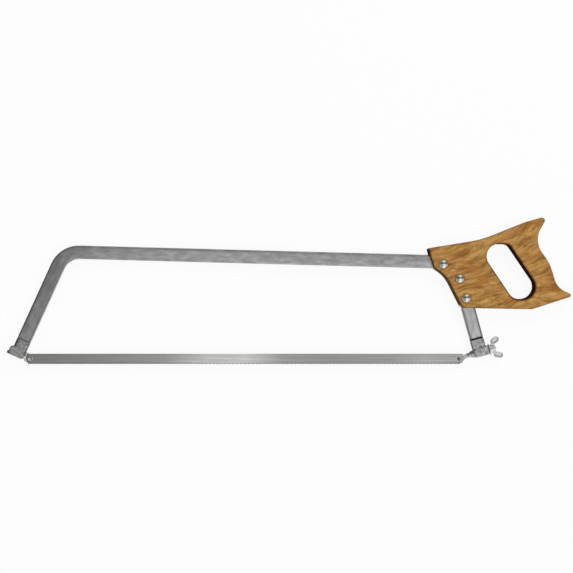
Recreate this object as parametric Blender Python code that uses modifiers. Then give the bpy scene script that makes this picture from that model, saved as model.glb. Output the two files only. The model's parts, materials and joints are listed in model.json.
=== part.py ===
"""A butcher saw for 22 inch blades, built from separate pieces.

The saw lies on the back of its wooden handle. In plan, +X runs along the blade
towards the handle and +Y from the blade to the spine of the steel frame. The
origin is under the middle of the saw. All sizes are in metres.
"""

import math

import bmesh
import bpy
from mathutils import Matrix, Vector

# Clearances
FIT = 0.0003  # between pieces that seat on or in each other
RUNNING_FIT = 0.0002  # radial, round pins, bolts, shanks and the stud

# Blade
HOLE_SPACING = 0.5588  # 22 inches between the blade's holes
BLADE_WIDTH = 0.0138
BLADE_THICKNESS = 0.0007
BLADE_FRONT_END = 0.0056  # blade beyond the centre of its front hole
BLADE_REAR_END = 0.0074
BLADE_HOLE_RADIUS = 0.0032
BACK_CLIP_LENGTH = 0.0032  # corner clipped off at the back of the blade
BACK_CLIP_HEIGHT = 0.0034
TOOTH_CLIP_LENGTH = 0.0028  # corner clipped off at the toothed edge
TOOTH_CLIP_HEIGHT = 0.0056
TOOTH_PITCH = 0.00254  # ten teeth to the inch
TOOTH_DEPTH = 0.0011
TOOTH_LEAD = 0.0004  # tooth point behind its own gullet, so the teeth cut on the push stroke

# Frame tube
TUBE_DEPTH = 0.0175  # in the plane of the saw
TUBE_BREADTH = 0.0090  # across the saw
TUBE_WALL = 0.0015
TUBE_CORNER = 0.0020
SPINE_HEIGHT = 0.1412  # spine's centreline above the blade's, over the front pin
SPINE_FALL = math.radians(1.53)  # the spine drops towards the handle
FRONT_LEAN = math.radians(24.5)
REAR_LEAN = math.radians(15.4)
FRONT_BEND = 0.031
REAR_BEND = 0.045

# End castings
CASTING_LENGTH = 0.0243  # showing below the end of the tube
SPIGOT_LENGTH = 0.0200  # inside the tube
CASTING_EDGE = 0.0018
BOSS_HEIGHT = 0.0110
BOSS_SWELL = 0.0011  # boss standing out from each side of the bar
FRONT_BOSS_OUT = 0.0120  # from the middle of the arm to the boss's outer end
FRONT_BOSS_IN = 0.0082  # and to its inner end, nearer the blade
FOOT_STEP = 0.0013  # foot standing out past the boss
FOOT_HEIGHT = 0.0038
REAR_BOSS_OUT = 0.0118
REAR_BOSS_IN = 0.0082
REAR_SHOULDER = 0.0022  # boss rising to the arm
NOSE_LENGTH = 0.0052
NOSE_TIP_WALL = 0.0006

# Blade hooks
HOOK_REACH = 0.0080  # from the front casting to its blade pin
STUD_REACH = 0.0156  # from the rear casting's nose to its blade pin
TONGUE_THICKNESS = 0.0024
TONGUE_DROP = 0.0014  # blade pins below the middle of the bosses
SHANK_RADIUS = 0.0030
HOOK_EYE_RADIUS = 0.0059
HOOK_NECK = 0.0048  # half width where the tongue leaves the boss
HOOK_NECK_LENGTH = 0.0030
STUD_RADIUS = 0.003175  # quarter inch
STUD_END = 0.0008  # stud past the wing nut
STUD_EYE_RADIUS = 0.0045
STUD_WAIST = 0.0026  # half width of the narrow part of its tongue
PIN_RADIUS = 0.0020
PIN_PROUD = 0.0020  # pin above the blade
PIN_DOME = 0.0006

# Wing nut and washer
WASHER_RADIUS = 0.0076
WASHER_THICKNESS = 0.0016
HUB_BASE_RADIUS = 0.0055
HUB_TOP_RADIUS = 0.0046
HUB_LENGTH = 0.0064
WING_ROOT = (0.0028, 0.0032)  # along the stud from the hub's base, and out from the stud
WING_ROOT_RADIUS = 0.0020
WING_HEEL = (0.0064, 0.0089)
WING_NECK_RADIUS = 0.0024
WING_TIP = (0.0104, 0.0106)
WING_TIP_RADIUS = 0.0038
WING_THICKNESS = 0.0032
WING_EDGE = 0.0012

# Handle, placed from the corner where the lines of the spine and the rear arm meet
HANDLE_THICKNESS = 0.0220
HANDLE_EDGE = 0.0022
HANDLE_OUTLINE = (  # x, y and radius of each corner
    (-0.0366, 0.0181, 0.0023),
    (-0.0295, -0.0074, 0.0030),
    (-0.0135, -0.0182, 0.0400),
    (0.0073, -0.0594, 0.0080),
    (0.0980, -0.0612, 0.0120),
    (0.1527, -0.0434, 0.0025),
    (0.1306, -0.0332, 0.0250),
    (0.1212, -0.0020, 0.0500),
    (0.1003, 0.0281, 0.0280),
    (0.1193, 0.0604, 0.0040),
    (0.0922, 0.0527, 0.0400),
    (0.0347, 0.0296, 0.1500),
)
HAND_SLOT = (
    (0.0250, 0.0238, 0.0162),
    (0.0734, -0.0479, 0.0150),
    (0.1167, -0.0479, 0.0164),
    (0.0682, 0.0238, 0.0100),
)

# Handle bolts and their nuts
BOLT_PLACES = (-0.0117, 0.0172, 0.0438)  # along the tube from the middle of its rear bend
BOLT_RADIUS = 0.0025
BOLT_HEAD_RADIUS = 0.0060
BOLT_HEAD_HEIGHT = 0.0040
BOLT_HEAD_RIM = 0.0006
NUT_HEAD_RADIUS = 0.0055
NUT_HEAD_THICKNESS = 0.0025
NUT_SLEEVE_RADIUS = 0.0038
NUT_FLOOR = 0.0012  # metal left below the nut's blind hole
NUT_SLOT_WIDTH = 0.0014
NUT_SLOT_DEPTH = 0.0010

# Smoothness of the round shapes
CHORD_ERROR = 0.00006  # most that a facet leaves the true arc
ROUND_STEPS = 24
RIM_STEPS = 2
DOME_STEPS = 5
WELD = 0.00001

# Worked out from the sizes above
PIN_SHIFT = BLADE_HOLE_RADIUS - PIN_RADIUS - RUNNING_FIT  # strained pins bear on the holes' outer sides
PIN_SPACING = HOLE_SPACING + 2 * PIN_SHIFT
BOSS_AXIS = BOSS_HEIGHT / 2
PIN_AXIS = BOSS_AXIS - TONGUE_DROP
BOSS_BREADTH = TUBE_BREADTH + 2 * BOSS_SWELL
FOOT_OUT = FRONT_BOSS_OUT + FOOT_STEP
FRONT_SIDE = max(FRONT_BOSS_IN, TUBE_DEPTH / 2)  # from the middle of the arm, on the blade's side
FRONT_PIN_REACH = FRONT_SIDE + HOOK_REACH
NOSE_TIP = REAR_BOSS_IN + NOSE_LENGTH
REAR_PIN_REACH = NOSE_TIP + STUD_REACH
TONGUE_FRONT = -(BLADE_THICKNESS / 2 + FIT)  # the tongues lie behind the blade
TONGUE_MIDDLE = TONGUE_FRONT - TONGUE_THICKNESS / 2
NUT_BASE = REAR_BOSS_OUT + FIT + WASHER_THICKNESS + FIT
MORTISE_BREADTH = TUBE_BREADTH + 2 * FIT
HANDLE_BACK = -HANDLE_THICKNESS / 2
HANDLE_FRONT = HANDLE_THICKNESS / 2


def clear_scene():
    for leftover in list(bpy.data.objects):
        bpy.data.objects.remove(leftover)


def new_collection(name):
    collection = bpy.data.collections.new(name)
    bpy.context.scene.collection.children.link(collection)
    return collection


clear_scene()
PARTS = new_collection("butcher_saw")
CUTTERS = new_collection("cutters")


def empty(name, parent=None, location=(0, 0, 0), turn=0.0):
    holder = bpy.data.objects.new(name, None)
    PARTS.objects.link(holder)
    holder.parent = parent
    holder.location = location
    holder.rotation_euler.z = turn
    return holder


def material(name, colour, roughness, metallic):
    made = bpy.data.materials.new(name)
    made.use_nodes = True
    shader = made.node_tree.nodes["Principled BSDF"]
    shader.inputs["Base Color"].default_value = (*colour, 1)
    shader.inputs["Roughness"].default_value = roughness
    shader.inputs["Metallic"].default_value = metallic
    made.diffuse_color = (*colour, 1)
    return made


def part(name, mesh, parent, finish, location=(0, 0, 0)):
    """A finished piece of the saw."""
    obj = bpy.data.objects.new(name, mesh)
    PARTS.objects.link(obj)
    obj.parent = parent
    obj.location = location
    mesh.materials.clear()
    mesh.materials.append(finish)
    mesh.shade_smooth()
    mesh.set_sharp_from_angle(angle=math.radians(30))
    return obj


def helper(name, mesh, parent, location=(0, 0, 0)):
    """A hidden shape that cuts or joins a piece."""
    obj = bpy.data.objects.new(name, mesh)
    CUTTERS.objects.link(obj)
    obj.parent = parent
    obj.location = location
    obj.hide_render = True
    obj.display_type = "WIRE"
    return obj


def combine(target, other, operation):
    boolean = target.modifiers.new(other.name, "BOOLEAN")
    boolean.operation = operation
    boolean.object = other


def cut(target, cutter):
    combine(target, cutter, "DIFFERENCE")


def join(target, added):
    combine(target, added, "UNION")


def mesh_of(source):
    """The evaluated mesh of a temporary object, with its seams welded."""
    PARTS.objects.link(source)
    graph = bpy.context.evaluated_depsgraph_get()
    mesh = bpy.data.meshes.new_from_object(source.evaluated_get(graph))
    bpy.data.objects.remove(source)
    work = bmesh.new()
    work.from_mesh(mesh)
    bmesh.ops.remove_doubles(work, verts=work.verts, dist=WELD)
    work.to_mesh(mesh)
    work.free()
    return mesh


def arc(centre, radius, start, turn):
    """Points on an arc, ends included, stepped finely enough to look round."""
    facet = 2 * math.acos(1 - CHORD_ERROR / radius)
    steps = max(2, math.ceil(abs(turn) / facet))
    angles = [start + turn * step / steps for step in range(steps + 1)]
    return [centre + radius * Vector((math.cos(a), math.sin(a))) for a in angles]


def rounded(corners, closed=True):
    """Straight sides whose corners (x, y, radius) are rounded by tangent arcs."""
    places = [Vector(corner[:2]) for corner in corners]
    points = []
    for index, corner in enumerate(places):
        is_end = not closed and index in (0, len(places) - 1)
        if is_end or corners[index][2] == 0:
            points.append(corner)
            continue
        radius = corners[index][2]
        before = (places[index - 1] - corner).normalized()
        after = (places[(index + 1) % len(places)] - corner).normalized()
        half = before.angle(after) / 2
        centre = corner + (before + after).normalized() * radius / math.sin(half)
        start = corner + before * radius / math.tan(half) - centre
        end = corner + after * radius / math.tan(half) - centre
        first = math.atan2(start.y, start.x)
        turn = (math.atan2(end.y, end.x) - first + math.pi) % math.tau - math.pi
        points += arc(centre, radius, first, turn)
    return points


def circle(centre, radius):
    return arc(Vector(centre), radius, 0, math.tau)[:-1]


def link(centre_a, radius_a, centre_b, radius_b):
    """The outline drawn tightly round two circles."""
    a = Vector(centre_a)
    b = Vector(centre_b)
    along = b - a
    heading = math.atan2(along.y, along.x)
    touch = math.acos((radius_a - radius_b) / along.length)
    far = arc(b, radius_b, heading - touch, 2 * touch)
    near = arc(a, radius_a, heading + touch, math.tau - 2 * touch)
    return far + near


def box_outline(left, bottom, right, top, radius=0.0):
    corners = ((left, bottom), (right, bottom), (right, top), (left, top))
    return rounded([(x, y, radius) for x, y in corners])


def add_splines(curve, outlines, cyclic):
    for outline in outlines:
        spline = curve.splines.new("POLY")
        spline.points.add(len(outline) - 1)
        spline.use_cyclic_u = cyclic
        for point, place in zip(spline.points, outline):
            point.co = (place[0], place[1], 0, 1)


def flat_mesh(name, outlines, thickness, edge=0.0, middle=0.0):
    """Outlines in plan, filled and given a thickness, with their rims rounded by edge."""
    curve = bpy.data.curves.new(name, "CURVE")
    curve.dimensions = "2D"
    curve.fill_mode = "BOTH"
    curve.extrude = thickness / 2 - edge
    curve.bevel_depth = edge
    curve.bevel_resolution = RIM_STEPS
    curve.offset = -edge
    add_splines(curve, outlines, cyclic=True)
    mesh = mesh_of(bpy.data.objects.new(name, curve))
    mesh.transform(Matrix.Translation((0, 0, middle)))
    return mesh


def prism_mesh(name, depth, breadth, corner, bottom, top):
    """A bar of rounded rectangular section that stands along Y."""
    section = box_outline(-depth / 2, -breadth / 2, depth / 2, breadth / 2, corner)
    mesh = flat_mesh(name, [section], top - bottom)
    stand = Matrix.Rotation(-math.pi / 2, 4, "X")
    mesh.transform(Matrix.Translation((0, (bottom + top) / 2, 0)) @ stand)
    return mesh


def turned_mesh(name, profile, closed=False, along_x=False):
    """A profile of (radius, height) points, from top to bottom, turned about an axis."""
    count = len(profile)
    edges = [(index, (index + 1) % count) for index in range(count if closed else count - 1)]
    mesh = bpy.data.meshes.new(name)
    mesh.from_pydata([(radius, 0, height) for radius, height in profile], edges, [])
    source = bpy.data.objects.new(name, mesh)
    screw = source.modifiers.new("turn", "SCREW")
    screw.steps = ROUND_STEPS
    screw.render_steps = ROUND_STEPS
    screw.use_merge_vertices = True
    screw.merge_threshold = WELD
    turned = mesh_of(source)
    if along_x:
        turned.transform(Matrix.Rotation(math.pi / 2, 4, "Y"))
    return turned


def rod_mesh(name, radius, bottom, top, along_x=False, top_radius=None):
    """A plain rod, or a cone where its top has another radius."""
    end = radius if top_radius is None else top_radius
    profile = ((0, top), (end, top), (radius, bottom), (0, bottom))
    return turned_mesh(name, profile, along_x=along_x)


def direction(angle):
    return Vector((math.cos(angle), math.sin(angle)))


def crossing(point_a, heading_a, point_b, heading_b):
    """Where two lines in plan meet."""
    between = point_b - point_a
    run = between.cross(heading_b) / heading_a.cross(heading_b)
    return point_a + heading_a * run


# Layout of the frame: each arm runs square to the boss that carries its blade pin
FRONT_ALONG = direction(-FRONT_LEAN)
FRONT_UP = FRONT_ALONG.orthogonal()
REAR_ALONG = direction(REAR_LEAN)
REAR_UP = REAR_ALONG.orthogonal()
FRONT_BASE = -FRONT_ALONG * FRONT_PIN_REACH - FRONT_UP * PIN_AXIS
REAR_BASE = Vector((PIN_SPACING, 0)) + REAR_ALONG * REAR_PIN_REACH - REAR_UP * PIN_AXIS
SPINE_START = Vector((0, SPINE_HEIGHT))
SPINE_HEADING = direction(-SPINE_FALL)
FRONT_CORNER = crossing(FRONT_BASE, FRONT_UP, SPINE_START, SPINE_HEADING)
REAR_CORNER = crossing(REAR_BASE, REAR_UP, SPINE_START, SPINE_HEADING)
FRONT_TUBE_END = FRONT_BASE + FRONT_UP * CASTING_LENGTH
REAR_TUBE_END = REAR_BASE + REAR_UP * CASTING_LENGTH
REAR_TURN = math.pi / 2 - REAR_LEAN - SPINE_FALL
REAR_BEND_RUN = REAR_BEND * math.tan(REAR_TURN / 2)  # from the corner to where the bend starts
REAR_BEND_START = REAR_CORNER - SPINE_HEADING * REAR_BEND_RUN
REAR_BEND_CENTRE = REAR_BEND_START - SPINE_HEADING.orthogonal() * REAR_BEND


def rear_arc(radius):
    """Points round the rear bend, from the spine to the rear arm."""
    return arc(REAR_BEND_CENTRE, radius, math.pi / 2 - SPINE_FALL, -REAR_TURN)


def on_centreline(distance):
    """The point of the tube's centreline that far past the middle of the rear bend."""
    half_bend = REAR_BEND * REAR_TURN / 2
    if distance < -half_bend:
        return REAR_BEND_START + SPINE_HEADING * (distance + half_bend)
    if distance > half_bend:
        arm_start = REAR_CORNER - REAR_UP * REAR_BEND_RUN
        return arm_start - REAR_UP * (distance - half_bend)
    angle = math.pi / 2 - SPINE_FALL - (distance + half_bend) / REAR_BEND
    return REAR_BEND_CENTRE + direction(angle) * REAR_BEND


def at_height(place, height=0.0):
    return (place.x, place.y, height)


WOOD = material("oiled_hardwood", (0.38, 0.19, 0.05), 0.5, 0.0)
PLATED_STEEL = material("plated_steel_tube", (0.30, 0.30, 0.31), 0.45, 1.0)
CAST_METAL = material("cast_steel", (0.28, 0.28, 0.28), 0.6, 1.0)
FORGED_STEEL = material("forged_steel", (0.42, 0.42, 0.42), 0.4, 1.0)
BLADE_STEEL = material("blade_steel", (0.36, 0.36, 0.36), 0.35, 1.0)
ZINC = material("zinc_plate", (0.62, 0.62, 0.63), 0.3, 1.0)
CHROME = material("chrome", (0.72, 0.72, 0.74), 0.12, 1.0)

SAW = empty("saw")
FRONT_END = empty("front_end", SAW, at_height(FRONT_BASE), -FRONT_LEAN)
REAR_END = empty("rear_end", SAW, at_height(REAR_BASE), REAR_LEAN)
BOLT_POINTS = [on_centreline(distance) for distance in BOLT_PLACES]


def make_blade():
    """A flat blade with a hole near each end and teeth along its lower edge."""
    back = BLADE_WIDTH / 2
    points_line = -BLADE_WIDTH / 2
    gullets = points_line + TOOTH_DEPTH
    left = -BLADE_FRONT_END
    right = HOLE_SPACING + BLADE_REAR_END
    first = left + TOOTH_CLIP_LENGTH
    last = right - TOOTH_CLIP_LENGTH
    teeth = int((last - first) / TOOTH_PITCH)
    outline = []
    for tooth in range(teeth):
        gullet = first + tooth * TOOTH_PITCH
        outline.append((gullet, gullets))
        outline.append((gullet + TOOTH_LEAD, points_line))
    outline.append((first + teeth * TOOTH_PITCH, gullets))
    outline += [
        (last, gullets + FIT),
        (right, points_line + TOOTH_CLIP_HEIGHT),
        (right, back - BACK_CLIP_HEIGHT),
        (right - BACK_CLIP_LENGTH, back),
        (left + BACK_CLIP_LENGTH, back),
        (left, back - BACK_CLIP_HEIGHT),
        (left, points_line + TOOTH_CLIP_HEIGHT),
    ]
    holes = [circle((x, 0), BLADE_HOLE_RADIUS) for x in (0, HOLE_SPACING)]
    mesh = flat_mesh("blade", [outline, *holes], BLADE_THICKNESS)
    part("blade", mesh, SAW, BLADE_STEEL, (PIN_SHIFT, 0, 0))


def make_frame_tube():
    """A rectangular tube bent twice, open at its ends and drilled for the handle bolts."""
    path = bpy.data.curves.new("frame_path", "CURVE")
    path.dimensions = "2D"
    path.fill_mode = "NONE"
    corners = (
        (*FRONT_TUBE_END, 0),
        (*FRONT_CORNER, FRONT_BEND),
        (*REAR_CORNER, REAR_BEND),
        (*REAR_TUBE_END, 0),
    )
    add_splines(path, [rounded(corners, closed=False)], cyclic=False)
    section = bpy.data.curves.new("tube_section", "CURVE")
    section.dimensions = "2D"
    section.fill_mode = "NONE"
    half_depth = TUBE_DEPTH / 2
    half_breadth = TUBE_BREADTH / 2
    outline = box_outline(-half_depth, -half_breadth, half_depth, half_breadth, TUBE_CORNER)
    add_splines(section, [outline[::-1]], cyclic=True)  # clockwise, so that the faces point out
    profile = bpy.data.objects.new("tube_section", section)
    PARTS.objects.link(profile)
    path.bevel_mode = "OBJECT"
    path.bevel_object = profile
    mesh = mesh_of(bpy.data.objects.new("frame_path", path))
    bpy.data.objects.remove(profile)
    tube = part("frame_tube", mesh, SAW, PLATED_STEEL)
    wall = tube.modifiers.new("wall", "SOLIDIFY")
    wall.thickness = TUBE_WALL
    wall.offset = -1
    wall.use_even_offset = True
    for number, place in enumerate(BOLT_POINTS, 1):
        drill = rod_mesh("drill", BOLT_RADIUS + RUNNING_FIT, -TUBE_BREADTH, TUBE_BREADTH)
        cut(tube, helper(f"tube_drill_{number}", drill, SAW, at_height(place)))


def casting_body(name, parent):
    """The bar of a casting, as deep and broad as the tube that its spigot fits into."""
    corner = TUBE_CORNER
    mesh = prism_mesh(name, TUBE_DEPTH, TUBE_BREADTH, corner, BOSS_AXIS, CASTING_LENGTH - FIT)
    body = part(name, mesh, parent, CAST_METAL)
    inset = 2 * (TUBE_WALL + FIT)
    spigot = prism_mesh(
        "spigot",
        TUBE_DEPTH - inset,
        TUBE_BREADTH - inset,
        FIT,
        CASTING_LENGTH - TUBE_DEPTH / 2,
        CASTING_LENGTH + SPIGOT_LENGTH,
    )
    join(body, helper(f"{name}_spigot", spigot, parent))
    return body


def bore(casting, radius, start, end):
    drill = rod_mesh("bore", radius + RUNNING_FIT, start - BOSS_HEIGHT, end + BOSS_HEIGHT, along_x=True)
    cut(casting, helper(f"{casting.name}_bore", drill, casting.parent, (0, BOSS_AXIS, 0)))


def make_front_casting():
    """The front casting: a bar, a boss across its end and a foot that stands out in front."""
    casting = casting_body("front_casting", FRONT_END)
    outline = rounded(
        (
            (-FOOT_OUT, 0, CASTING_EDGE),
            (FRONT_BOSS_IN, 0, CASTING_EDGE),
            (FRONT_BOSS_IN, BOSS_HEIGHT, CASTING_EDGE),
            (-FRONT_BOSS_OUT, BOSS_HEIGHT, CASTING_EDGE),
            (-FRONT_BOSS_OUT, FOOT_HEIGHT, FOOT_STEP / 3),
            (-FOOT_OUT, FOOT_HEIGHT, FOOT_STEP / 2),
        )
    )
    boss = flat_mesh("boss", [outline], BOSS_BREADTH, CASTING_EDGE / 3)
    join(casting, helper("front_boss", boss, FRONT_END))
    bore(casting, SHANK_RADIUS, -FOOT_OUT, FRONT_BOSS_IN)


def make_rear_casting():
    """The rear casting: a bar, a boss that guides the stud and a nose towards the blade."""
    casting = casting_body("rear_casting", REAR_END)
    outline = rounded(
        (
            (-REAR_BOSS_IN, 0, CASTING_EDGE),
            (REAR_BOSS_OUT, 0, CASTING_EDGE),
            (REAR_BOSS_OUT, BOSS_HEIGHT, CASTING_EDGE),
            (TUBE_DEPTH / 2 - CASTING_EDGE, BOSS_HEIGHT + REAR_SHOULDER, CASTING_EDGE),
            (-REAR_BOSS_IN, BOSS_HEIGHT, CASTING_EDGE),
        )
    )
    boss = flat_mesh("boss", [outline], BOSS_BREADTH, CASTING_EDGE / 3)
    join(casting, helper("rear_boss", boss, REAR_END))
    nose = rod_mesh(
        "nose",
        STUD_RADIUS + RUNNING_FIT + NOSE_TIP_WALL,
        -NOSE_TIP,
        -REAR_BOSS_IN + CASTING_EDGE,
        along_x=True,
        top_radius=BOSS_HEIGHT / 2 - CASTING_EDGE / 3,
    )
    join(casting, helper("rear_nose", nose, REAR_END, (0, BOSS_AXIS, 0)))
    bore(casting, STUD_RADIUS, -NOSE_TIP, REAR_BOSS_OUT)


def drill_for_pin(hook, reach):
    """The hole that a blade pin is riveted into."""
    drill = rod_mesh("drill", PIN_RADIUS + RUNNING_FIT, -TUBE_BREADTH, TUBE_BREADTH)
    cut(hook, helper(f"{hook.name}_pin_hole", drill, hook.parent, (reach, PIN_AXIS, 0)))


def tongue_outline(stations):
    """A tongue's outline from its x, middle, half width and corner radius at each station."""
    upper = [(x, middle + half, radius) for x, middle, half, radius in stations]
    lower = [(x, middle - half, radius) for x, middle, half, radius in reversed(stations)]
    return rounded([*upper, *lower])


def make_front_hook():
    """A shank in the front boss that flattens to a broad tongue behind the blade."""
    start = FRONT_SIDE + FIT
    broad = start + HOOK_NECK_LENGTH
    end = FRONT_PIN_REACH + HOOK_EYE_RADIUS
    eye = HOOK_EYE_RADIUS
    outline = tongue_outline(
        (
            (end, -TONGUE_DROP, eye, eye - FIT),
            (broad, -TONGUE_DROP, eye, HOOK_NECK_LENGTH / 2),
            (start, 0, HOOK_NECK, CASTING_EDGE / 3),
        )
    )
    tongue = flat_mesh("front_hook", [outline], TONGUE_THICKNESS, middle=TONGUE_MIDDLE)
    hook = part("front_hook", tongue, FRONT_END, FORGED_STEEL, (0, BOSS_AXIS, 0))
    shank = rod_mesh("shank", SHANK_RADIUS, -FRONT_BOSS_OUT, broad, along_x=True)
    join(hook, helper("front_hook_shank", shank, FRONT_END, (0, BOSS_AXIS, 0)))
    flat = TONGUE_FRONT + FIT / 3
    mill = flat_mesh(
        "mill",
        [box_outline(start, -HOOK_NECK, end, HOOK_NECK)],
        BOSS_BREADTH,
        middle=flat + BOSS_BREADTH / 2,
    )
    cut(hook, helper("front_hook_flat", mill, FRONT_END, (0, BOSS_AXIS, 0)))
    drill_for_pin(hook, FRONT_PIN_REACH)


def make_tension_stud():
    """A stud through the rear boss whose inner end is forged to a waisted tongue."""
    eye = STUD_EYE_RADIUS
    root = -NOSE_TIP - FIT
    waist = root - STUD_RADIUS
    eye_start = -REAR_PIN_REACH + eye / 2
    waist_end = (waist + eye_start) / 2
    outline = tongue_outline(
        (
            (root, 0, STUD_RADIUS - FIT, FIT),
            (waist, 0, STUD_WAIST, STUD_RADIUS),
            (waist_end, -TONGUE_DROP, STUD_WAIST, STUD_RADIUS),
            (eye_start, -TONGUE_DROP, eye, STUD_RADIUS / 2),
            (-REAR_PIN_REACH - eye, -TONGUE_DROP, eye, eye - FIT),
        )
    )
    tongue = flat_mesh("tension_stud", [outline], TONGUE_THICKNESS, middle=TONGUE_MIDDLE)
    stud = part("tension_stud", tongue, REAR_END, ZINC, (0, BOSS_AXIS, 0))
    end = NUT_BASE + HUB_LENGTH + STUD_END
    chamfer = STUD_RADIUS / 4
    profile = (
        (0, end),
        (STUD_RADIUS - chamfer, end),
        (STUD_RADIUS, end - chamfer),
        (STUD_RADIUS, waist + chamfer),
        (STUD_RADIUS - chamfer, waist),
        (0, waist),
    )
    shank = turned_mesh("shank", profile, along_x=True)
    join(stud, helper("tension_stud_shank", shank, REAR_END, (0, BOSS_AXIS, 0)))
    drill_for_pin(stud, -REAR_PIN_REACH)


def make_blade_pin(name, parent, reach):
    """A pin riveted in a tongue, with a low dome that stands above the blade."""
    bottom = TONGUE_FRONT - TONGUE_THICKNESS
    top = BLADE_THICKNESS / 2 + PIN_PROUD
    profile = (
        (0, top),
        (PIN_RADIUS - PIN_DOME, top - PIN_DOME / 4),
        (PIN_RADIUS, top - PIN_DOME),
        (PIN_RADIUS, bottom),
        (0, bottom),
    )
    part(name, turned_mesh(name, profile), parent, FORGED_STEEL, (reach, PIN_AXIS, 0))


def make_washer():
    hole = STUD_RADIUS + RUNNING_FIT
    top = WASHER_THICKNESS
    profile = ((hole, top), (WASHER_RADIUS, top), (WASHER_RADIUS, 0), (hole, 0))
    mesh = turned_mesh("wing_nut_washer", profile, closed=True, along_x=True)
    part("wing_nut_washer", mesh, REAR_END, ZINC, (REAR_BOSS_OUT + FIT, BOSS_AXIS, 0))


def make_wing_nut():
    """A tapered hub with two swept wings on short necks, threaded on the stud."""
    soft = HUB_TOP_RADIUS / 8
    profile = (
        (0, HUB_LENGTH),
        (HUB_TOP_RADIUS - soft, HUB_LENGTH),
        (HUB_TOP_RADIUS, HUB_LENGTH - soft),
        (HUB_BASE_RADIUS, soft),
        (HUB_BASE_RADIUS - soft, 0),
        (0, 0),
    )
    place = (NUT_BASE, BOSS_AXIS, 0)
    nut = part("wing_nut", turned_mesh("wing_nut", profile, along_x=True), REAR_END, ZINC, place)
    for side, name in ((1, "upper"), (-1, "lower")):
        root = (WING_ROOT[0], side * WING_ROOT[1])
        heel = (WING_HEEL[0], side * WING_HEEL[1])
        tip = (WING_TIP[0], side * WING_TIP[1])
        neck_line = link(root, WING_ROOT_RADIUS, heel, WING_NECK_RADIUS)
        neck = flat_mesh(f"{name}_neck", [neck_line], WING_THICKNESS - FIT, WING_EDGE)
        join(nut, helper(f"{name}_neck", neck, REAR_END, place))
        wing_line = link(heel, WING_TIP_RADIUS, tip, WING_TIP_RADIUS)
        wing = flat_mesh(f"{name}_wing", [wing_line], WING_THICKNESS, WING_EDGE)
        join(nut, helper(f"{name}_wing", wing, REAR_END, place))
    hole = rod_mesh("thread_hole", STUD_RADIUS + RUNNING_FIT, -HUB_LENGTH, 2 * HUB_LENGTH, along_x=True)
    cut(nut, helper("wing_nut_hole", hole, REAR_END, place))


def mortise_outline():
    """In plan, the tube's outer side round the rear bend and all that lies inside it."""
    reach = TUBE_DEPTH / 2 + FIT
    lead = 2 * REAR_BEND_RUN  # past the handle's front along the spine
    inside = 2 * TUBE_DEPTH  # past the handle's hollow front edge
    spine_out = SPINE_HEADING.orthogonal()
    start = REAR_CORNER - SPINE_HEADING * lead
    return [
        start + spine_out * reach,
        *rear_arc(REAR_BEND + reach),
        REAR_TUBE_END + REAR_ALONG * reach,
        REAR_TUBE_END - REAR_ALONG * inside,
        start - spine_out * inside,
    ]


def bolt_hole_profile():
    """A hole for the bolt, stepped at the back for the sleeve and the head of its nut."""
    bolt = BOLT_RADIUS + RUNNING_FIT
    sleeve = NUT_SLEEVE_RADIUS + RUNNING_FIT
    head = NUT_HEAD_RADIUS + RUNNING_FIT
    floor = HANDLE_BACK + NUT_HEAD_THICKNESS + 2 * FIT
    return (
        (0, HANDLE_THICKNESS),
        (bolt, HANDLE_THICKNESS),
        (bolt, 0),
        (sleeve, 0),
        (sleeve, floor),
        (head, floor),
        (head, -HANDLE_THICKNESS),
        (0, -HANDLE_THICKNESS),
    )


def make_handle():
    """A wooden handle with a hand slot, cut open at its front to take the bent tube."""
    outlines = [rounded(HANDLE_OUTLINE), rounded(HAND_SLOT)[::-1]]
    sharpest = min(corner[2] for corner in HANDLE_OUTLINE)
    mesh = flat_mesh("handle", outlines, HANDLE_THICKNESS, min(HANDLE_EDGE, sharpest - FIT / 3))
    handle = part("handle", mesh, SAW, WOOD, at_height(REAR_CORNER))
    mortise = flat_mesh("mortise", [mortise_outline()], MORTISE_BREADTH)
    cut(handle, helper("mortise", mortise, SAW))
    for number, place in enumerate(BOLT_POINTS, 1):
        drill = turned_mesh("bolt_hole", bolt_hole_profile())
        cut(handle, helper(f"handle_drill_{number}", drill, SAW, at_height(place)))


def make_handle_bolt(number, place):
    """A bolt with a low domed head and a plain shank."""
    seat = HANDLE_FRONT + FIT
    end = HANDLE_BACK + FIT + NUT_FLOOR + FIT
    rise = BOLT_HEAD_HEIGHT - BOLT_HEAD_RIM
    sphere = (BOLT_HEAD_RADIUS**2 + rise**2) / (2 * rise)
    sweep = math.asin(BOLT_HEAD_RADIUS / sphere)
    angles = [sweep * step / DOME_STEPS for step in range(DOME_STEPS + 1)]
    top = seat + BOLT_HEAD_HEIGHT - sphere
    dome = [(sphere * math.sin(a), top + sphere * math.cos(a)) for a in angles]
    profile = [
        *dome,
        (BOLT_HEAD_RADIUS, seat),
        (BOLT_RADIUS, seat),
        (BOLT_RADIUS, end),
        (0, end),
    ]
    name = f"handle_bolt_{number}"
    part(name, turned_mesh(name, profile), SAW, CHROME, at_height(place))


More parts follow.
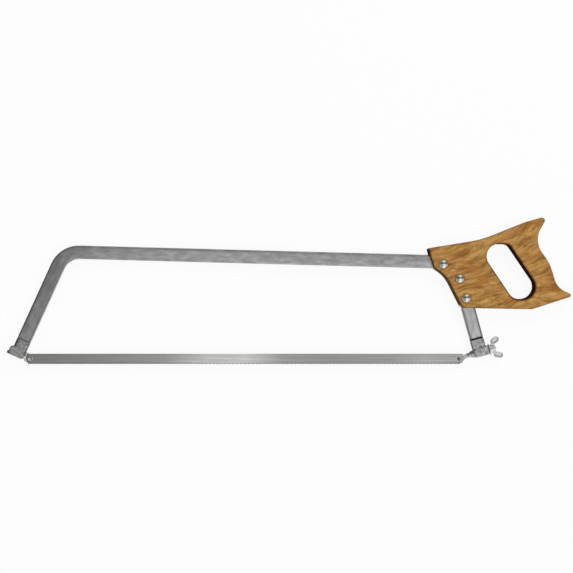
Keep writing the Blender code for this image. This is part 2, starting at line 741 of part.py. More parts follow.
def make_handle_nut(number, place):
    """A slotted nut sunk in the back of the handle, its sleeve reaching in to the bolt."""
    bottom = HANDLE_BACK + FIT
    shoulder = bottom + NUT_HEAD_THICKNESS
    top = -MORTISE_BREADTH / 2
    hole = BOLT_RADIUS + RUNNING_FIT
    profile = (
        (0, bottom + NUT_FLOOR),
        (hole, bottom + NUT_FLOOR),
        (hole, top),
        (NUT_SLEEVE_RADIUS, top),
        (NUT_SLEEVE_RADIUS, shoulder),
        (NUT_HEAD_RADIUS, shoulder),
        (NUT_HEAD_RADIUS, bottom),
        (0, bottom),
    )
    name = f"handle_nut_{number}"
    nut = part(name, turned_mesh(name, profile), SAW, CHROME, at_height(place))
    length = 3 * NUT_HEAD_RADIUS
    slot = box_outline(-length / 2, -NUT_SLOT_WIDTH / 2, length / 2, NUT_SLOT_WIDTH / 2)
    mesh = flat_mesh("slot", [slot], 2 * NUT_SLOT_DEPTH, middle=bottom)
    cut(nut, helper(f"nut_slot_{number}", mesh, SAW, at_height(place)))


def stand_on_origin():
    """Moves the saw so that the middle of its underside is at the origin."""
    bpy.context.view_layer.update()
    graph = bpy.context.evaluated_depsgraph_get()
    places = []
    for obj in PARTS.objects:
        if obj.type != "MESH":
            continue
        evaluated = obj.evaluated_get(graph)
        mesh = evaluated.to_mesh()
        places += [evaluated.matrix_world @ vertex.co for vertex in mesh.vertices]
        evaluated.to_mesh_clear()
    low = Vector([min(place[axis] for place in places) for axis in range(3)])
    high = Vector([max(place[axis] for place in places) for axis in range(3)])
    middle = (low + high) / 2
    SAW.location = (-middle.x, -middle.y, -low.z)
    bpy.context.view_layer.update()


make_blade()
make_frame_tube()
make_front_casting()
make_front_hook()
make_blade_pin("front_blade_pin", FRONT_END, FRONT_PIN_REACH)
make_rear_casting()
make_tension_stud()
make_blade_pin("rear_blade_pin", REAR_END, -REAR_PIN_REACH)
make_washer()
make_wing_nut()
make_handle()
for bolt_number, bolt_place in enumerate(BOLT_POINTS, 1):
    make_handle_bolt(bolt_number, bolt_place)
    make_handle_nut(bolt_number, bolt_place)
stand_on_origin()
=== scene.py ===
"""The looks of a butcher saw: finer surfaces over its solids, their finishes, the studio and the camera.

Everything is in metres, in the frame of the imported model: +X along the blade towards the handle,
+Y from the blade to the spine, +Z up from the table that the saw lies on.
"""

import json
import math

import bmesh
import bpy
import numpy as np
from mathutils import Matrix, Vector


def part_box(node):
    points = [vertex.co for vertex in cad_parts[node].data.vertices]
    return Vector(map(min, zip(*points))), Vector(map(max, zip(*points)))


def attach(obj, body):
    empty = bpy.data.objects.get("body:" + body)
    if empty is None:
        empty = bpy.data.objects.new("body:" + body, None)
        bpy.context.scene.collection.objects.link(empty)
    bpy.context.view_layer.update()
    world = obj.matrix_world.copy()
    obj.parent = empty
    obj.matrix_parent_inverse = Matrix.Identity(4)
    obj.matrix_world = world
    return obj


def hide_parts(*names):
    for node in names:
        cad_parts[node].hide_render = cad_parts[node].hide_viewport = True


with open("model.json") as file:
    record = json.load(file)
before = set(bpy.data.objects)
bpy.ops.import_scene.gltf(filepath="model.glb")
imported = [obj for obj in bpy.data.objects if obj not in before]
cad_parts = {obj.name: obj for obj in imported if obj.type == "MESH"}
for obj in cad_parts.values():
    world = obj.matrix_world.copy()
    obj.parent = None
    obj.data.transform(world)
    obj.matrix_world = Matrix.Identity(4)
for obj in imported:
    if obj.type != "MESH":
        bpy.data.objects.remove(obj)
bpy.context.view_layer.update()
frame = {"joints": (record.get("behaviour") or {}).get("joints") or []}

# Clearances
FIT = 0.0003
RUNNING_FIT = 0.0002

# Blade
BLADE_FRONT_END = 0.0056  # from the end to the middle of its hole
BLADE_REAR_END = 0.0074
BLADE_HOLE_RADIUS = 0.0032
BACK_CLIP = (0.0032, 0.0034)  # length and height of the clipped corner
TOOTH_CLIP = (0.0028, 0.0056)
TOOTH_PITCH = 0.00254
TOOTH_DEPTH = 0.0011
TOOTH_LEAD = 0.0004  # from a gullet on to the point
TOOTH_SET = 0.00022  # teeth bent out to either side in turn
BLADE_LINES = ((0.70, 0.0012), (0.86, 0.0006))  # inner lines: share of the width, distance from the ends
BLADE_RIM = 0.0030  # darker along the edges
BACK_RIM_SHARE = 0.08  # how dark it is there
TOOTH_RIM_SHARE = 0.6
BLADE_SHADE_AND_HIGHLIGHT = (  # painted shade by the distance from the front end, with a painted highlight where it falls to nothing
    (0.0015, 0.70), (0.0040, 0.48), (0.10, 0.48), (0.18, 0.42), (0.235, 0.02), (0.285, 0.0),
    (0.335, 0.43), (0.40, 0.49), (0.47, 0.46), (0.52, 0.34), (0.57, 0.40),
)

# Frame tube
TUBE_DEPTH = 0.0175
TUBE_BREADTH = 0.0090
HALF_DEPTH = TUBE_DEPTH / 2
HALF_BREADTH = TUBE_BREADTH / 2
TUBE_WALL = 0.0015
TUBE_CORNER = 0.0020
TUBE_CROWN = 0.00012  # its broad sides fall by this to their edges
TUBE_END_ROUND = 0.0005  # softened end of the tube
TUBE_STATION = 0.006  # between sections along the straight runs
TUBE_END_STATIONS = (0.0002, 0.0005, 0.0010, 0.0016, 0.0024, 0.0034)  # more sections close to its ends
SPINE_HEIGHT = 0.1412
SPINE_FALL = math.radians(1.53)
FRONT_LEAN = math.radians(24.5)
FRONT_BEND = 0.031
REAR_BEND = 0.045
TUBE_SHADE = (  # painted shade by the distance along the tube from its front end
    (0.0, 0.33), (0.05, 0.40), (0.105, 0.46), (0.135, 0.33), (0.17, 0.12),
    (0.34, 0.08), (0.40, 0.18), (0.57, 0.20), (0.66, 0.08),
)
TUBE_CORNER_SHADE = ((0.0, 0.9), (0.11, 0.8), (0.16, 0.5), (0.57, 0.45), (0.66, 0.6))  # and the painted shade on its corners
TUBE_CORNER_SHADE_REACH = (0.0050, 0.0030)  # from a corner over the broad side and over the narrow one

# End castings, each measured from the middle of its arm along its boss
CASTING_LENGTH = 0.0243
SPIGOT_LENGTH = 0.0200
SHOULDER_ROUND = 0.0009  # under the tube end
CASTING_EDGE = 0.0018
BOSS_HEIGHT = 0.0110
BOSS_HALF = BOSS_HEIGHT / 2
BOSS_BREADTH = 0.0112
BOSS_SWELL = 0.0011  # boss standing out from each side of the bar
FRONT_BOSS_OUT = 0.0120
FRONT_BOSS_IN = 0.0082
FOOT_OUT = 0.0133
FOOT_HEIGHT = 0.0038
REAR_BOSS_OUT = 0.0118
REAR_BOSS_IN = 0.0082
REAR_SHOULDER = 0.0022
NOSE_TIP = 0.0134
NOSE_TIP_RADIUS = 0.0040
CAST_ROUGHNESS = 0.0003
CAST_GRAIN = 0.0035
FRONT_SMOOTHING = 6  # rounds of smoothing: the front casting keeps crisper edges
REAR_SMOOTHING = 20

# Grime and painted shade on the castings, as shares of the darkest and how far it reaches
EDGE_TILT = 0.3  # of a normal, where a rounded edge counts as one
SIDE_TILT = 0.6  # from here on it is a side
SIDE_SHARE = 0.4  # what a side keeps of an edge's painted shade
# painted shade on the castings' rounded edges
CASTING_EDGE_SHADE = 0.75
BAR_EDGE_REACH = 0.0038  # in from the two edges of the bar
UNDERSIDE_REACH = 0.0025  # up from the bottom edge
SHADE_FADE = 0.0020  # over which painted shade ends
JOINT_REACH = 0.0022  # to either side of the joint between casting and tube
JOINT_PACK = 1.5  # over 1, so that it is even close to the joint
FRONT_JOINT = 0.2  # the front joint is cleaner than the rear one
FRONT_CAST_SHADE = 0.1  # painted shade, thin, all over the front casting
FLANK_SHADE = 0.88  # painted shade on the front casting's outer side
FLANK_REACH = 0.0085
FLANK_TILT = (0.05, 0.35)  # of the normal, from an upright side to a face
SIDE_SHADE = 0.35  # share of the flank's painted shade that its upright side keeps
NOSE_SHADE = 0.9  # painted shade on top of the rear casting's nose, where it looks up
NOSE_REACH = 0.0060
PIT_GRIME = 0.88
# Dark places on the castings: along the boss, up the arm from its middle, and the reach
FRONT_PITS = ((-0.0128, -0.0040, 0.0075),)
REAR_PITS = ((0.0058, 0.0134, 0.0018), (0.0020, 0.0070, 0.0018), (0.0094, 0.0070, 0.0026))

# Blade hooks
FRONT_PIN_REACH = 0.01675
REAR_PIN_REACH = 0.0290
TONGUE_THICKNESS = 0.0024
TONGUE_DROP = 0.0014  # blade pins below the middle of the bosses
TONGUE_EDGE = 0.0005
TONGUE_SMOOTHING = 3
SHANK_RADIUS = 0.0030
SHANK_TAPER = 0.0009  # blunt end, clear of the blade
SHANK_BLUNT = 0.7  # share of the radius half way down the taper
HOOK_EYE_RADIUS = 0.0059
HOOK_NECK = 0.0048
HOOK_NECK_LENGTH = 0.0030
# painted shade on the hook's rounded edges
HOOK_EDGE_SHADE = 0.15
HOOK_EYE_SHADE = 0.6  # painted shade round the pin, seen through the blade's hole
STUD_RADIUS = 0.003175
STUD_END = 0.0008
STUD_EYE_RADIUS = 0.0045
STUD_WAIST = 0.0026
STUD_BLUNT = 0.75  # share of the radius half way down the neck's end
# painted shade on the stud tongue's rounded edges
STUD_EDGE_SHADE = 0.4
STUD_FILM = 0.3
STUD_TOP_SHADE = 0.5  # more darkening, as painted shade, where the tongue looks up towards the spine
THREAD_PITCH = 0.00127
THREAD_DEPTH = 0.0005
THREAD_STEPS = 12  # rows to a pitch
PIN_RADIUS = 0.0020
PIN_DIMPLE = 0.0004
# The pins' heads: how many dimples down, at which share of the radius
PIN_HEAD = ((1.0, 0.0), (0.7, 0.3), (0.0, 0.6), (0.4, 0.82), (1.6, 1.0))

# Wing nut and washer
WASHER_RADIUS = 0.0076
WASHER_THICKNESS = 0.0016
NUT_BASE = REAR_BOSS_OUT + FIT + WASHER_THICKNESS + FIT
HUB_BASE_RADIUS = 0.0055
HUB_TOP_RADIUS = 0.0046
HUB_LENGTH = 0.0064
WING_ROOT = (0.0028, 0.0032)
WING_ROOT_RADIUS = 0.0020
WING_HEEL = (0.0064, 0.0089)
WING_NECK_RADIUS = 0.0024
WING_NECK_GAP = 0.0032  # neck ending short of the heel, clear of the dish
WING_TIP = (0.0104, 0.0106)
WING_TIP_RADIUS = 0.0038
WING_THICKNESS = 0.0032
WING_EDGE = 0.0008
WING_DISH = 0.0009
DISH_CURVE = ((0.2, 0.2), (0.4, 0.85), (0.6, 1.0), (0.9, 1.0))  # share of the way in, share of the depth
WING_SMOOTHING = 4
WING_FILM = 0.1
# painted shade on the wings' rounded edges
WING_EDGE_SHADE = 0.4
HUB_CLEAN = 0.8  # share of the wings' darkening that the hub is without

# Handle, placed from the corner where the lines of the spine and the rear arm meet
HANDLE_EDGE = 0.0022
HAND_SLOT_EDGE = 0.0030
HANDLE_STATION = 0.001
FACE_SHARES = (0.01, 0.05, 0.2, 0.4, 0.6, 0.8, 0.95, 0.99)  # rows from the outline to the slot
MORTISE_LEAD = 0.09  # past the handle's hollow front edge
FLAT_NORMAL = 0.0003  # lies over so little that its direction doesn't count
EDGE_SHADE = 0.3  # share of the front edge's painted shade that the other outer edges have
FRONT_SHADE_FROM = 0.25  # how far to the front an edge looks where the painted shade starts to grow
FRONT_SHADE_SPAN = 0.4  # and from there to where it is full
EDGE_SHADE_POWER = 1.3  # how fast it grows over the rounded edge
SLOT_POWER = 2.0  # the same in the slot, where its wall looks sideways
SLOT_POWER_FALL = 1.5  # by which it is less where the wall looks up to the spine
HANDLE_OUTLINE = (  # corners, each with its radius
    (-0.0366, 0.0181, 0.0023), (-0.0295, -0.0074, 0.0030), (-0.0135, -0.0182, 0.0400),
    (0.0073, -0.0594, 0.0080), (0.0980, -0.0612, 0.0120), (0.1527, -0.0434, 0.0025),
    (0.1306, -0.0332, 0.0250), (0.1212, -0.0020, 0.0500), (0.1003, 0.0281, 0.0280),
    (0.1193, 0.0604, 0.0040), (0.0922, 0.0527, 0.0400), (0.0347, 0.0296, 0.1500),
)
HAND_SLOT = (
    (0.0250, 0.0238, 0.0162), (0.0734, -0.0479, 0.0150),
    (0.1167, -0.0479, 0.0164), (0.0682, 0.0238, 0.0100),
)

# Handle bolts and nuts
BOLT_RADIUS = 0.0025
BOLT_HEAD_RADIUS = 0.0060
BOLT_HEAD_HEIGHT = 0.0040
BOLT_HEAD_RIM = 0.0006
BOLT_SHADOW_REACH = 0.0018  # reach of the painted shadow on the wood round each head
BOLT_SHADOW = 0.35  # how dark it is
NUT_HEAD_RADIUS = 0.0055
NUT_HEAD_THICKNESS = 0.0025
NUT_SLEEVE_RADIUS = 0.0038
NUT_FLOOR = 0.0012
NUT_SLOT_WIDTH = 0.0014
NUT_SLOT_DEPTH = 0.0010

# How finely the surfaces are drawn
ARC_STEP = math.radians(4)
ROUND_STEPS = 72
RIM_STEPS = 6
DOME_STEPS = 16
FLAT_RING = 0.0002  # flat band beside a rounded edge, which keeps the face's shading flat
MELT_VOXEL = 0.0003
FINE_VOXEL = 0.0002
SHARP_ANGLE = math.radians(35)
SAME_PLACE = 1e-7  # points closer than this are merged

# Wood grain, as it shows on the handle
GRAIN_ANGLE = math.radians(17)  # climbs towards the back of the handle
BOARD_HEART = (0.26, 0.01, 0.0)
GRAIN_DIVE = math.radians(5)
RING_TILT = math.radians(40)  # rings slanting through the board's thickness
RING_RUN = 1.8  # as many times longer through the board as they are wide
GRAIN_FAN = 3.5  # the grain turns by this slope for each metre above or below the heart
WANDER = 0.020  # how far the grain strays to either side
WANDER_LENGTH = 0.052
RING_WIDTH = 0.0025
RING_LENGTH = 0.034
RING_COLOURS = ((0.3, "#7d4f1d"), (0.47, "#a9793a"), (0.56, "#c1944f"), (0.7, "#d8ad65"))
FIGURE_WIDTH = 0.0060
FIGURE_LENGTH = 0.030
FIGURE_COLOURS = ((0.34, "#633814"), (0.47, "#a6773c"), (0.64, "#d2a664"))
FLUSH_SIZE = 0.018  # patches of redder wood
FLUSH_COLOUR = "#ae6a2b"
FIBRE_WIDTH = 0.0010  # coarser than real fibres, so that they show
FIBRE_LENGTH = 0.014
FIBRE_COLOUR = "#6d421a"
FIBRE_DEPTH = 0.0003
# colour of the painted shade on the oak
WOOD_SHADE_COLOUR = "#341404"
OIL_SHEEN = 0.22
# colour of dark grime and of painted shade on metal
METAL_SHADE_AND_GRIME = "#2b2a29"

# Studio and picture
FLOOR_LEVEL = -0.0002
FLOOR_REACH = 12.0
FLOOR_GLOW = 0.91  # share of the table's white that doesn't depend on the lamps
FLOOR_SHADES = ((0.0, "#8a8a8a"), (1.0, "#f4f4f4"))  # as the saw is lit by it, and as it is seen
WORLD_FILL = 0.45
# The room that metal mirrors, as brightness by the direction's X, times a share by its Y
ROOM_ALONG = (
    (-0.45, 0.38), (-0.25, 0.60), (-0.13, 0.90), (-0.05, 1.20),
    (0.05, 1.00), (0.20, 1.10), (0.35, 1.00), (0.65, 0.64),
)
NEAR_SIDE = (-0.12, 0.12, 1.5, 0.40)  # from this Y to that one, the share falls from bright to dark
FAR_SIDE = (0.45, 0.70, 0.0, 0.7)  # and here it rises again by the last of these
DARK_DOOR = ((0.57, 0.44, 0.69), 0.15, 0.36, 0.3)  # direction, inner and outer reach, and what it leaves
LAMPS = (  # name, place, aim, size and power
    ("overhead_softbox", (0.55, -1.15, 2.5), (0.55, -1.15, 0), (2.8, 2.1), 27),
    ("key_lamp", (0.5, 1.5, 1.5), (0.1, 0, 0), (1.0, 1.0), 15),
)
SENSOR = 36.0
CAMERA_DISTANCE = 1.25
PICTURE_SIDE = 573
PIXEL = 0.0013066  # metres of the saw to a pixel
FRONT_PIN_PIXEL = (29.65, 359.0)


def plan(angle):
    """The unit vector at an angle from +X in plan."""
    return np.array((math.cos(angle), math.sin(angle)))


def left_of(heading):
    """A heading turned a quarter to its left."""
    return np.array((-heading[1], heading[0]))


def centre_of(node):
    """The middle of a CAD node's box."""
    low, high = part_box(node)
    return np.array((low + high) / 2)


def crossing(point_a, heading_a, point_b, heading_b):
    """Where two lines in plan meet."""
    run = np.linalg.solve(np.array((heading_a, -heading_b)).T, point_b - point_a)
    return point_a + heading_a * run[0]


# Layout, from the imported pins, bolts and wing nut joint
NUT_JOINT = next(joint for joint in frame["joints"] if joint["name"] == "wing_nut_turn")
MIDDLE = centre_of("blade")[2]
HANDLE_HALF = (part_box("handle")[1].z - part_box("handle")[0].z) / 2
BLADE_LOW, BLADE_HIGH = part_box("blade")
BLADE_WIDTH = BLADE_HIGH.y - BLADE_LOW.y
BLADE_THICKNESS = BLADE_HIGH.z - BLADE_LOW.z
TONGUE_MIDDLE = -(BLADE_THICKNESS / 2 + FIT + TONGUE_THICKNESS / 2)
FRONT_PIN = centre_of("front_blade_pin")[:2]
REAR_PIN = centre_of("rear_blade_pin")[:2]
FRONT_ALONG = plan(-FRONT_LEAN)
FRONT_UP = left_of(FRONT_ALONG)
FRONT_AXIS = FRONT_PIN - FRONT_ALONG * FRONT_PIN_REACH + FRONT_UP * TONGUE_DROP
REAR_ALONG = np.array(NUT_JOINT["axis"][:2])
REAR_UP = left_of(REAR_ALONG)
REAR_AXIS = np.array(NUT_JOINT["pos_m"][:2])
SPINE_HEADING = plan(-SPINE_FALL)
SPINE_START = FRONT_PIN + np.array((0, SPINE_HEIGHT))
FRONT_CORNER = crossing(FRONT_AXIS, FRONT_UP, SPINE_START, SPINE_HEADING)
REAR_CORNER = crossing(REAR_AXIS, REAR_UP, SPINE_START, SPINE_HEADING)
FRONT_TUBE_END = FRONT_AXIS + FRONT_UP * (CASTING_LENGTH - BOSS_HALF)
REAR_TUBE_END = REAR_AXIS + REAR_UP * (CASTING_LENGTH - BOSS_HALF)
BOLTS = [centre_of(f"handle_bolt_{number}")[:2] for number in (1, 2, 3)]
SQUARE = ((-1, -1), (1, -1), (1, 1), (-1, 1))


def linear(hex_colour):
    """An sRGB hex value as linear red, green, blue and alpha."""
    srgb = np.array([int(hex_colour[i : i + 2], 16) / 255 for i in (1, 3, 5)])
    low = srgb / 12.92
    high = ((srgb + 0.055) / 1.055) ** 2.4
    return (*np.where(srgb <= 0.04045, low, high), 1.0)


def empty_tree(owner):
    """The node tree of a new material or world, with nothing in it."""
    owner.use_nodes = True
    owner.node_tree.nodes.clear()
    return owner.node_tree


def add(tree, kind, settings=None, links=None):
    """Adds a node. Settings go to its sockets or properties, and links join outputs to its sockets.

    A node that is given as a link stands for its first output.
    """
    made = tree.nodes.new("ShaderNode" + kind)
    for name, value in (settings or {}).items():
        if isinstance(name, int) or name in made.inputs:
            made.inputs[name].default_value = value
        else:
            setattr(made, name, value)
    for name, source in (links or {}).items():
        output = source.outputs[0] if isinstance(source, bpy.types.Node) else source
        tree.links.new(output, made.inputs[name])
    return made


def set_stops(ramp, stops):
    """Gives a colour ramp its stops, each a position with a hex colour or a grey."""
    elements = ramp.color_ramp.elements
    while len(elements) < len(stops):
        elements.new(0.5)
    for element, (position, colour) in zip(elements, stops):
        element.position = position
        element.color = linear(colour) if isinstance(colour, str) else (colour, colour, colour, 1)


def oiled_hardwood():
    """Oak, sawn flat, sanded and oiled: wandering grain, flecks and pores, and painted shade on the cut
    edges.

    Noises drawn out along the grain give the rings, the broader figure and the fibres. The grain strays by
    a slow noise, and fans out by the product of the places along and across the board.
    """
    made = bpy.data.materials.new("oiled_oak")
    tree = empty_tree(made)
    place = add(tree, "TexCoord").outputs["Object"]
    laid = {"Location": BOARD_HEART, "Rotation": (RING_TILT, GRAIN_DIVE, GRAIN_ANGLE)}
    board = add(tree, "Mapping", {"vector_type": "TEXTURE", **laid}, {"Vector": place})
    apart = add(tree, "SeparateXYZ", links={"Vector": board}).outputs
    fan = add(tree, "Math", {"operation": "MULTIPLY"}, {0: apart["X"], 1: apart["Y"]})
    fanned = add(tree, "CombineXYZ", links={"Y": fan})
    slope = {"operation": "MULTIPLY_ADD", 1: (0, -GRAIN_FAN, 0)}
    board = add(tree, "VectorMath", slope, {0: fanned, 2: board})
    slow = {"Scale": 1 / WANDER_LENGTH, "Detail": 2.0, "Roughness": 0.5}
    drift = add(tree, "TexNoise", slow, {"Vector": board}).outputs["Color"]
    stray = {"operation": "MULTIPLY_ADD", 1: (0, WANDER, WANDER)}
    grain = add(tree, "VectorMath", stray, {0: drift, 2: board})
    noises = []
    for length, width, through, detail in (
        (RING_LENGTH, RING_WIDTH, RING_RUN * RING_WIDTH, 3.0),
        (FIGURE_LENGTH, FIGURE_WIDTH, RING_RUN * FIGURE_WIDTH, 3.0),
        (FIBRE_LENGTH, FIBRE_WIDTH, FIBRE_WIDTH, 4.0),
    ):
        sizes = {"vector_type": "TEXTURE", "Scale": (length, width, through)}
        drawn_out = add(tree, "Mapping", sizes, {"Vector": grain})
        clouds = {"Scale": 1.0, "Detail": detail, "Roughness": 0.6}
        noises.append(add(tree, "TexNoise", clouds, {"Vector": drawn_out}))
    rings, figure, fibres = noises
    ring_colour = add(tree, "ValToRGB", links={"Fac": rings})
    set_stops(ring_colour, RING_COLOURS)
    figure_colour = add(tree, "ValToRGB", links={"Fac": figure})
    set_stops(figure_colour, FIGURE_COLOURS)
    colour = add(tree, "MixRGB", {"Fac": 0.5}, {"Color1": ring_colour, "Color2": figure_colour})
    patches = {"Scale": 1 / FLUSH_SIZE, "Detail": 2.0, "Roughness": 0.6}
    flush = add(tree, "TexNoise", patches, {"Vector": grain})
    flushed = add(tree, "MapRange", {"From Min": 0.48, "From Max": 0.75, "To Max": 0.55}, {"Value": flush})
    colour = add(tree, "MixRGB", {"Color2": linear(FLUSH_COLOUR)}, {"Fac": flushed, "Color1": colour})
    pored = add(tree, "MapRange", {"From Min": 0.51, "From Max": 0.74, "To Max": 0.85}, {"Value": fibres})
    colour = add(tree, "MixRGB", {"Color2": linear(FIBRE_COLOUR)}, {"Fac": pored, "Color1": colour})
    # painted shade on the edges, carried by the mesh
    shade_and_grime = add(tree, "Attribute", {"attribute_name": "shade_and_grime"}).outputs["Fac"]
    # painted shadow round each bolt head, set off a little towards -X
    rim = {"From Min": BOLT_HEAD_RADIUS, "From Max": BOLT_HEAD_RADIUS + BOLT_SHADOW_REACH}
    for bolt in BOLTS:
        foot = (bolt[0] - BOLT_SHADOW_REACH / 4, bolt[1], MIDDLE + HANDLE_HALF)
        away = add(tree, "VectorMath", {"operation": "DISTANCE", 1: foot}, {0: place}).outputs["Value"]
        ring = add(tree, "MapRange", {**rim, "To Min": BOLT_SHADOW, "To Max": 0.0}, {"Value": away})
        shade_and_grime = add(tree, "Math", {"operation": "MAXIMUM"}, {0: shade_and_grime, 1: ring})
    colour = add(tree, "MixRGB", {"Color2": linear(WOOD_SHADE_COLOUR)}, {"Fac": shade_and_grime, "Color1": colour})
    sheen = add(tree, "MapRange", {"To Min": OIL_SHEEN, "To Max": 0.0}, {"Value": shade_and_grime})
    rough = add(tree, "MapRange", {"To Min": 0.5, "To Max": 0.68}, {"Value": fibres})
    bump = add(tree, "Bump", {"Strength": 0.25, "Distance": FIBRE_DEPTH}, {"Height": fibres})
    finish = {"Base Color": colour, "Specular IOR Level": sheen, "Roughness": rough, "Normal": bump}
    shader = add(tree, "BsdfPrincipled", {"Specular IOR Level": OIL_SHEEN}, finish)
    add(tree, "OutputMaterial", links={"Surface": shader})
    return made


def metal(name, sizes, shades, roughness, depth, detail=4.0, source="Object"):
    """A metal whose shade, roughness and skin follow one noise of the given sizes, darkened by grime and
    painted shade.

    The roughness is that of its bright parts and its dark ones. The source is Object or an attribute.
    """
    made = bpy.data.materials.new(name)
    tree = empty_tree(made)
    if source == "Object":
        place = add(tree, "TexCoord").outputs["Object"]
    else:
        place = add(tree, "Attribute", {"attribute_name": source}).outputs["Vector"]
    drawn_out = add(tree, "Mapping", {"vector_type": "TEXTURE", "Scale": sizes}, {"Vector": place})
    clouds = {"Scale": 1.0, "Detail": detail, "Roughness": 0.6}
    skin = add(tree, "TexNoise", clouds, {"Vector": drawn_out})
    shade = add(tree, "ValToRGB", links={"Fac": skin})
    set_stops(shade, shades)
    # darkening from the mesh: grime and painted shade
    shade_and_grime = add(tree, "Attribute", {"attribute_name": "shade_and_grime"}).outputs["Fac"]
    colour = add(tree, "MixRGB", {"Color2": linear(METAL_SHADE_AND_GRIME)}, {"Fac": shade_and_grime, "Color1": shade})
    spread = {"From Min": 0.3, "From Max": 0.7, "To Min": roughness[1], "To Max": roughness[0]}
    rough = add(tree, "MapRange", spread, {"Value": skin})
    bump = add(tree, "Bump", {"Strength": 0.4, "Distance": depth}, {"Height": skin})
    finish = {"Base Color": colour, "Roughness": rough, "Normal": bump}
    shader = add(tree, "BsdfPrincipled", {"Metallic": 1.0}, finish)
    add(tree, "OutputMaterial", links={"Surface": shader})
    return made


OAK = oiled_hardwood()
# Zinc-plated drawn steel tube, dulled by handling: faint grey clouds drawn out along the tube
PLATED_STEEL = metal(
    "dull_plated_steel",
    (0.014, 0.005, 0.005),
    ((0.3, "#9e9e9f"), (0.5, "#b1b1b1"), (0.7, "#c8c8c7")),
    (0.32, 0.42),
    0.00005,
    source="tube_place",
)
# Sand-cast steel, plated over its rough skin: grey with darker mottles
CAST_STEEL = metal(
    "sand_cast_steel",
    (0.004, 0.004, 0.004),
    ((0.3, "#868685"), (0.45, "#a3a3a2"), (0.65, "#bababa")),
    (0.42, 0.6),
    0.00008,
    detail=2.0,
)
# Forged and tumbled steel: pale grey, faintly mottled
FORGED_STEEL = metal(
    "tumbled_forged_steel",
    (0.003, 0.003, 0.003),
    ((0.3, "#c0c0bf"), (0.7, "#dededc")),
    (0.32, 0.44),
    0.00006,
)
# Rolled blade steel ground along its length: fine bright and dark lines
GROUND_STEEL = metal(
    "ground_blade_steel",
    (0.080, 0.0013, 0.0013),
    ((0.25, "#a6a6a5"), (0.5, "#b4b4b3"), (0.75, "#c2c2c0")),
    (0.20, 0.28),
    0.00003,
)
# Bright zinc plate over a cast nut: nearly even, hazy
BRIGHT_ZINC = metal(
    "bright_zinc_plate",
    (0.0025, 0.0025, 0.0025),
    ((0.3, "#cececf"), (0.7, "#e6e6e7")),
    (0.38, 0.48),
    0.00005,
)
# Polished nickel-chrome plate: a mirror with a little haze from wear
CHROME = metal(
    "polished_chrome_plate",
    (0.004, 0.004, 0.004),
    ((0.3, "#b9b6b1"), (0.7, "#c5c2bd")),
    (0.12, 0.18),
    0.00001,
)
# Darker steel for the rear pin's head
DARK_PIN_STEEL = metal(
    "dark_pin_steel",
    (0.001, 0.001, 0.001),
    ((0.3, "#656462"), (0.7, "#8e8c8a")),
    (0.3, 0.5),
    0.0001,
)


def rounded_line(corners, closed=True, spacing=None):
    """Straight runs whose corners (x, y, radius) are rounded by tangent arcs.

    On an arc the point is centre + radius * (sin, -cos) of the heading, on a right turn the
    opposite, and the heading turns evenly. Returns the points and the heading at each.
    """
    places = np.array([corner[:2] for corner in corners])
    radii = [corner[2] for corner in corners]
    if closed:
        places = np.vstack((places[-1:], places, places[:1]))
    else:
        radii = radii[1:-1]
    runs = np.diff(places, axis=0)
    headings = np.arctan2(runs[:, 1], runs[:, 0])
    points, angles = [], []
    for place, radius, before, after in zip(places[1:-1], radii, headings, headings[1:]):
        turn = (after - before + math.pi) % math.tau - math.pi
        side = math.copysign(1, turn)
        angle = before + turn * np.linspace(0, 1, math.ceil(abs(turn) / ARC_STEP) + 1)
        start = place - plan(before) * radius * math.tan(abs(turn) / 2)
        centre = start + side * radius * left_of(plan(before))
        points.append(centre + side * radius * np.stack((np.sin(angle), -np.cos(angle)), 1))
        angles.append(angle)
    if not closed:
        points = [places[:1], *points, places[-1:]]
        angles = [headings[:1], *angles, headings[-1:]]
    points = np.vstack(points)
    angles = np.concatenate(angles)
    if spacing is None:
        return points, angles
    following = np.roll(points, -1, axis=0)
    counts = np.ceil(np.linalg.norm(following - points, axis=1) / spacing).astype(int).clip(1)
    if not closed:
        counts[-1] = 1
    first = np.repeat(np.arange(len(points)), counts)
    share = np.concatenate([np.arange(count) / count for count in counts])[:, None]
    return points[first] * (1 - share) + following[first] * share, angles[first]


def rounded_oblong(half_length, half_width, radius, spacing=None):
    """An oblong round the origin, with rounded corners."""
    corners = [(x * half_length, y * half_width, radius) for x, y in SQUARE]
    return rounded_line(corners, spacing=spacing)


def link_line(centre_a, radius_a, centre_b, radius_b):
    """Round two circles and their common tangents: for each direction, the farther circle's point."""
    turn = np.linspace(0, math.tau, 2 * ROUND_STEPS, endpoint=False)
    out = np.stack((np.cos(turn), np.sin(turn)), 1)
    on_b = (out @ centre_b + radius_b > out @ centre_a + radius_a)[:, None]
    return np.where(on_b, centre_b + radius_b * out, centre_a + radius_a * out), turn + math.pi / 2


def quarter_round(half, edge, reach):
    """Insets and heights over the rounded edge of a slab, up to its face.

    The edge is how far down the side the round goes, and the reach how far in: reach * (1 - cos) and
    half - edge * (1 - sin).
    """
    turn = np.linspace(0, math.pi / 2, RIM_STEPS + 1)
    return reach * (1 - np.cos(turn)), half - edge * (1 - np.sin(turn))


def edge_rows(half, edge, reach):
    """Rows (inset, height) over a slab's side: flat, quarter round, straight, quarter round, flat."""
    rounded = np.stack(quarter_round(half, edge, reach), 1)
    top = np.vstack((rounded, (reach + FLAT_RING, half)))
    return np.vstack((top[::-1] * (1, -1), top))


def outward(headings):
    """Unit vectors to the right of the headings, which is outside a line that runs anticlockwise."""
    return np.stack((np.sin(headings), -np.cos(headings)), 1)


def raised(level, height):
    """Rows of points in plan, each row at its height."""
    return np.concatenate((level, np.broadcast_to(height, (*level.shape[:2], 1))), axis=2)


